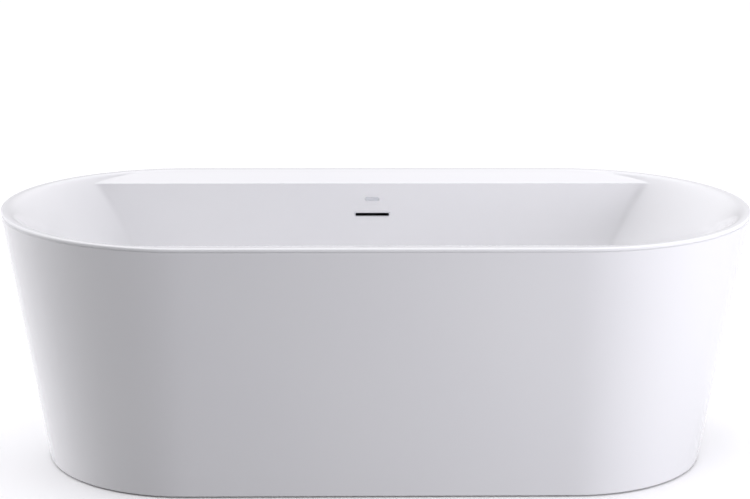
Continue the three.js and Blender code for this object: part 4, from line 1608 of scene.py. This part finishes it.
@dataclass
class Studio:
    """Floor, surround, overhead light, soft boxes and the camera."""

    focal_px: float = 3169.14
    frame_px: float = 750
    place: Point = (-0.2381, -6.9961, 2.2256)
    pitch: float = 0.2446
    yaw: float = 0.0336
    roll: float = 0.0067
    overhead: float = 0.35
    overhead_spread: float = 50
    ambient: float = 0.02
    tint: str = "fcfbff"
    glows: tuple[Glow, ...] = (
        Glow((0.0, 0.0, 1.0), 1.3, 0.4),
        Glow((-0.87, 0.5, 0.12), 0.9, 0.28),
        Glow((0.0, 1.0, 0.12), 0.3, 0.16),
        Glow((0.64, 0.77, 0.12), 0.5, 0.16),
        Glow((-0.93, 0.28, -0.4), 1.5, 0.16),
    )
    boxes: tuple[SoftBox, ...] = (SoftBox((3.0, -1.4, 0.7), 1.6, 34), SoftBox((2.2, -2.6, 0.5), 1.6, 43))

    def camera(self) -> None:
        """Adds the camera at the fitted place."""
        data = bpy.data.cameras.new("camera")
        data.sensor_width = 36
        data.lens = self.focal_px * 36 / self.frame_px
        data.clip_end = 100
        lens = bpy.data.objects.new("camera", data)
        bpy.context.scene.collection.objects.link(lens)
        forward = Vector(
            (
                math.sin(self.yaw) * math.cos(self.pitch), math.cos(self.yaw) * math.cos(self.pitch),
                -math.sin(self.pitch)
            )
        )
        turn = forward.to_track_quat("-Z", "Y").to_matrix().to_4x4()
        lens.matrix_world = Matrix.Translation(self.place) @ turn @ Matrix.Rotation(self.roll, 4, "Z")
        bpy.context.scene.camera = lens

    def sky(self) -> None:
        """A dim surround with a few broad glows."""
        world = bpy.data.worlds.new("studio")
        bpy.context.scene.world = world
        world.use_nodes = True
        tree = world.node_tree
        tree.nodes.clear()
        way = add_node(tree, "ShaderNodeTexCoord")
        total = add_node(tree, "ShaderNodeValue")
        total.outputs[0].default_value = self.ambient
        for glow in self.glows:
            towards = Vector(glow.towards).normalized()
            facing = add_node(
                tree, "ShaderNodeVectorMath", {"operation": "DOT_PRODUCT", 1: towards},
                {0: way.outputs["Generated"]}
            )
            patch = add_node(
                tree,
                "ShaderNodeMapRange",
                {
                    "interpolation_type": "SMOOTHSTEP", "From Min": 1 - 2 * glow.spread, "From Max": 1.0,
                    "To Min": 0.0, "To Max": glow.strength
                },
                {"Value": facing.outputs["Value"]},
            )
            total = add_node(
                tree, "ShaderNodeMath", {"operation": "ADD"}, {0: total.outputs[0], 1: patch.outputs[0]}
            )
        light = add_node(
            tree, "ShaderNodeBackground", {"Color": linear(self.tint)}, {"Strength": total.outputs[0]}
        )
        add_node(tree, "ShaderNodeOutputWorld", links={0: light.outputs[0]})

    def floor(self) -> None:
        """A plain pale floor."""
        bpy.ops.object.select_all(action="DESELECT")
        bpy.ops.mesh.primitive_plane_add(size=60, location=(0, 0, -0.0005))
        ground = bpy.context.object
        ground.name = "studio_floor"
        paint = bpy.data.materials.new("studio_floor")
        paint.use_nodes = True
        shader = paint.node_tree.nodes["Principled BSDF"]
        shader.inputs["Base Color"].default_value = linear("fefefe")
        shader.inputs["Roughness"].default_value = 0.9
        ground.data.materials.append(paint)
        # Flags hold the floor's bounce back from the walls. The surround's lower glows stand for what is left
        # of it.
        ground.visible_diffuse = False
        ground.visible_shadow = False

    def build(self) -> None:
        """Adds it all."""
        self.camera()
        self.sky()
        self.floor()
        overhead = bpy.data.lights.new("overhead", "SUN")
        overhead.energy = self.overhead
        overhead.angle = math.radians(self.overhead_spread)
        bpy.context.scene.collection.objects.link(bpy.data.objects.new("overhead", overhead))
        for number, box in enumerate(self.boxes, 1):
            box.build(f"soft_box_{number}")


def main() -> None:
    """Builds the tub's pieces in order, and the studio round it."""
    logging.basicConfig(level=logging.INFO, format="%(name)s: %(message)s")
    bpy.context.scene.view_settings.view_transform = "Standard"
    shop = Workshop()
    shop.dress_nodes()
    Studio().build()
    shape = TubShape()
    Basin(shape).build(shop)
    Skirt(shape).build(shop)
    Drain().build(shop)
    Waste().build(shop)
    Overflow(shape).build(shop)
    Frame().build(shop)
    Feet().build(shop)


if __name__ == "__main__":
    main()
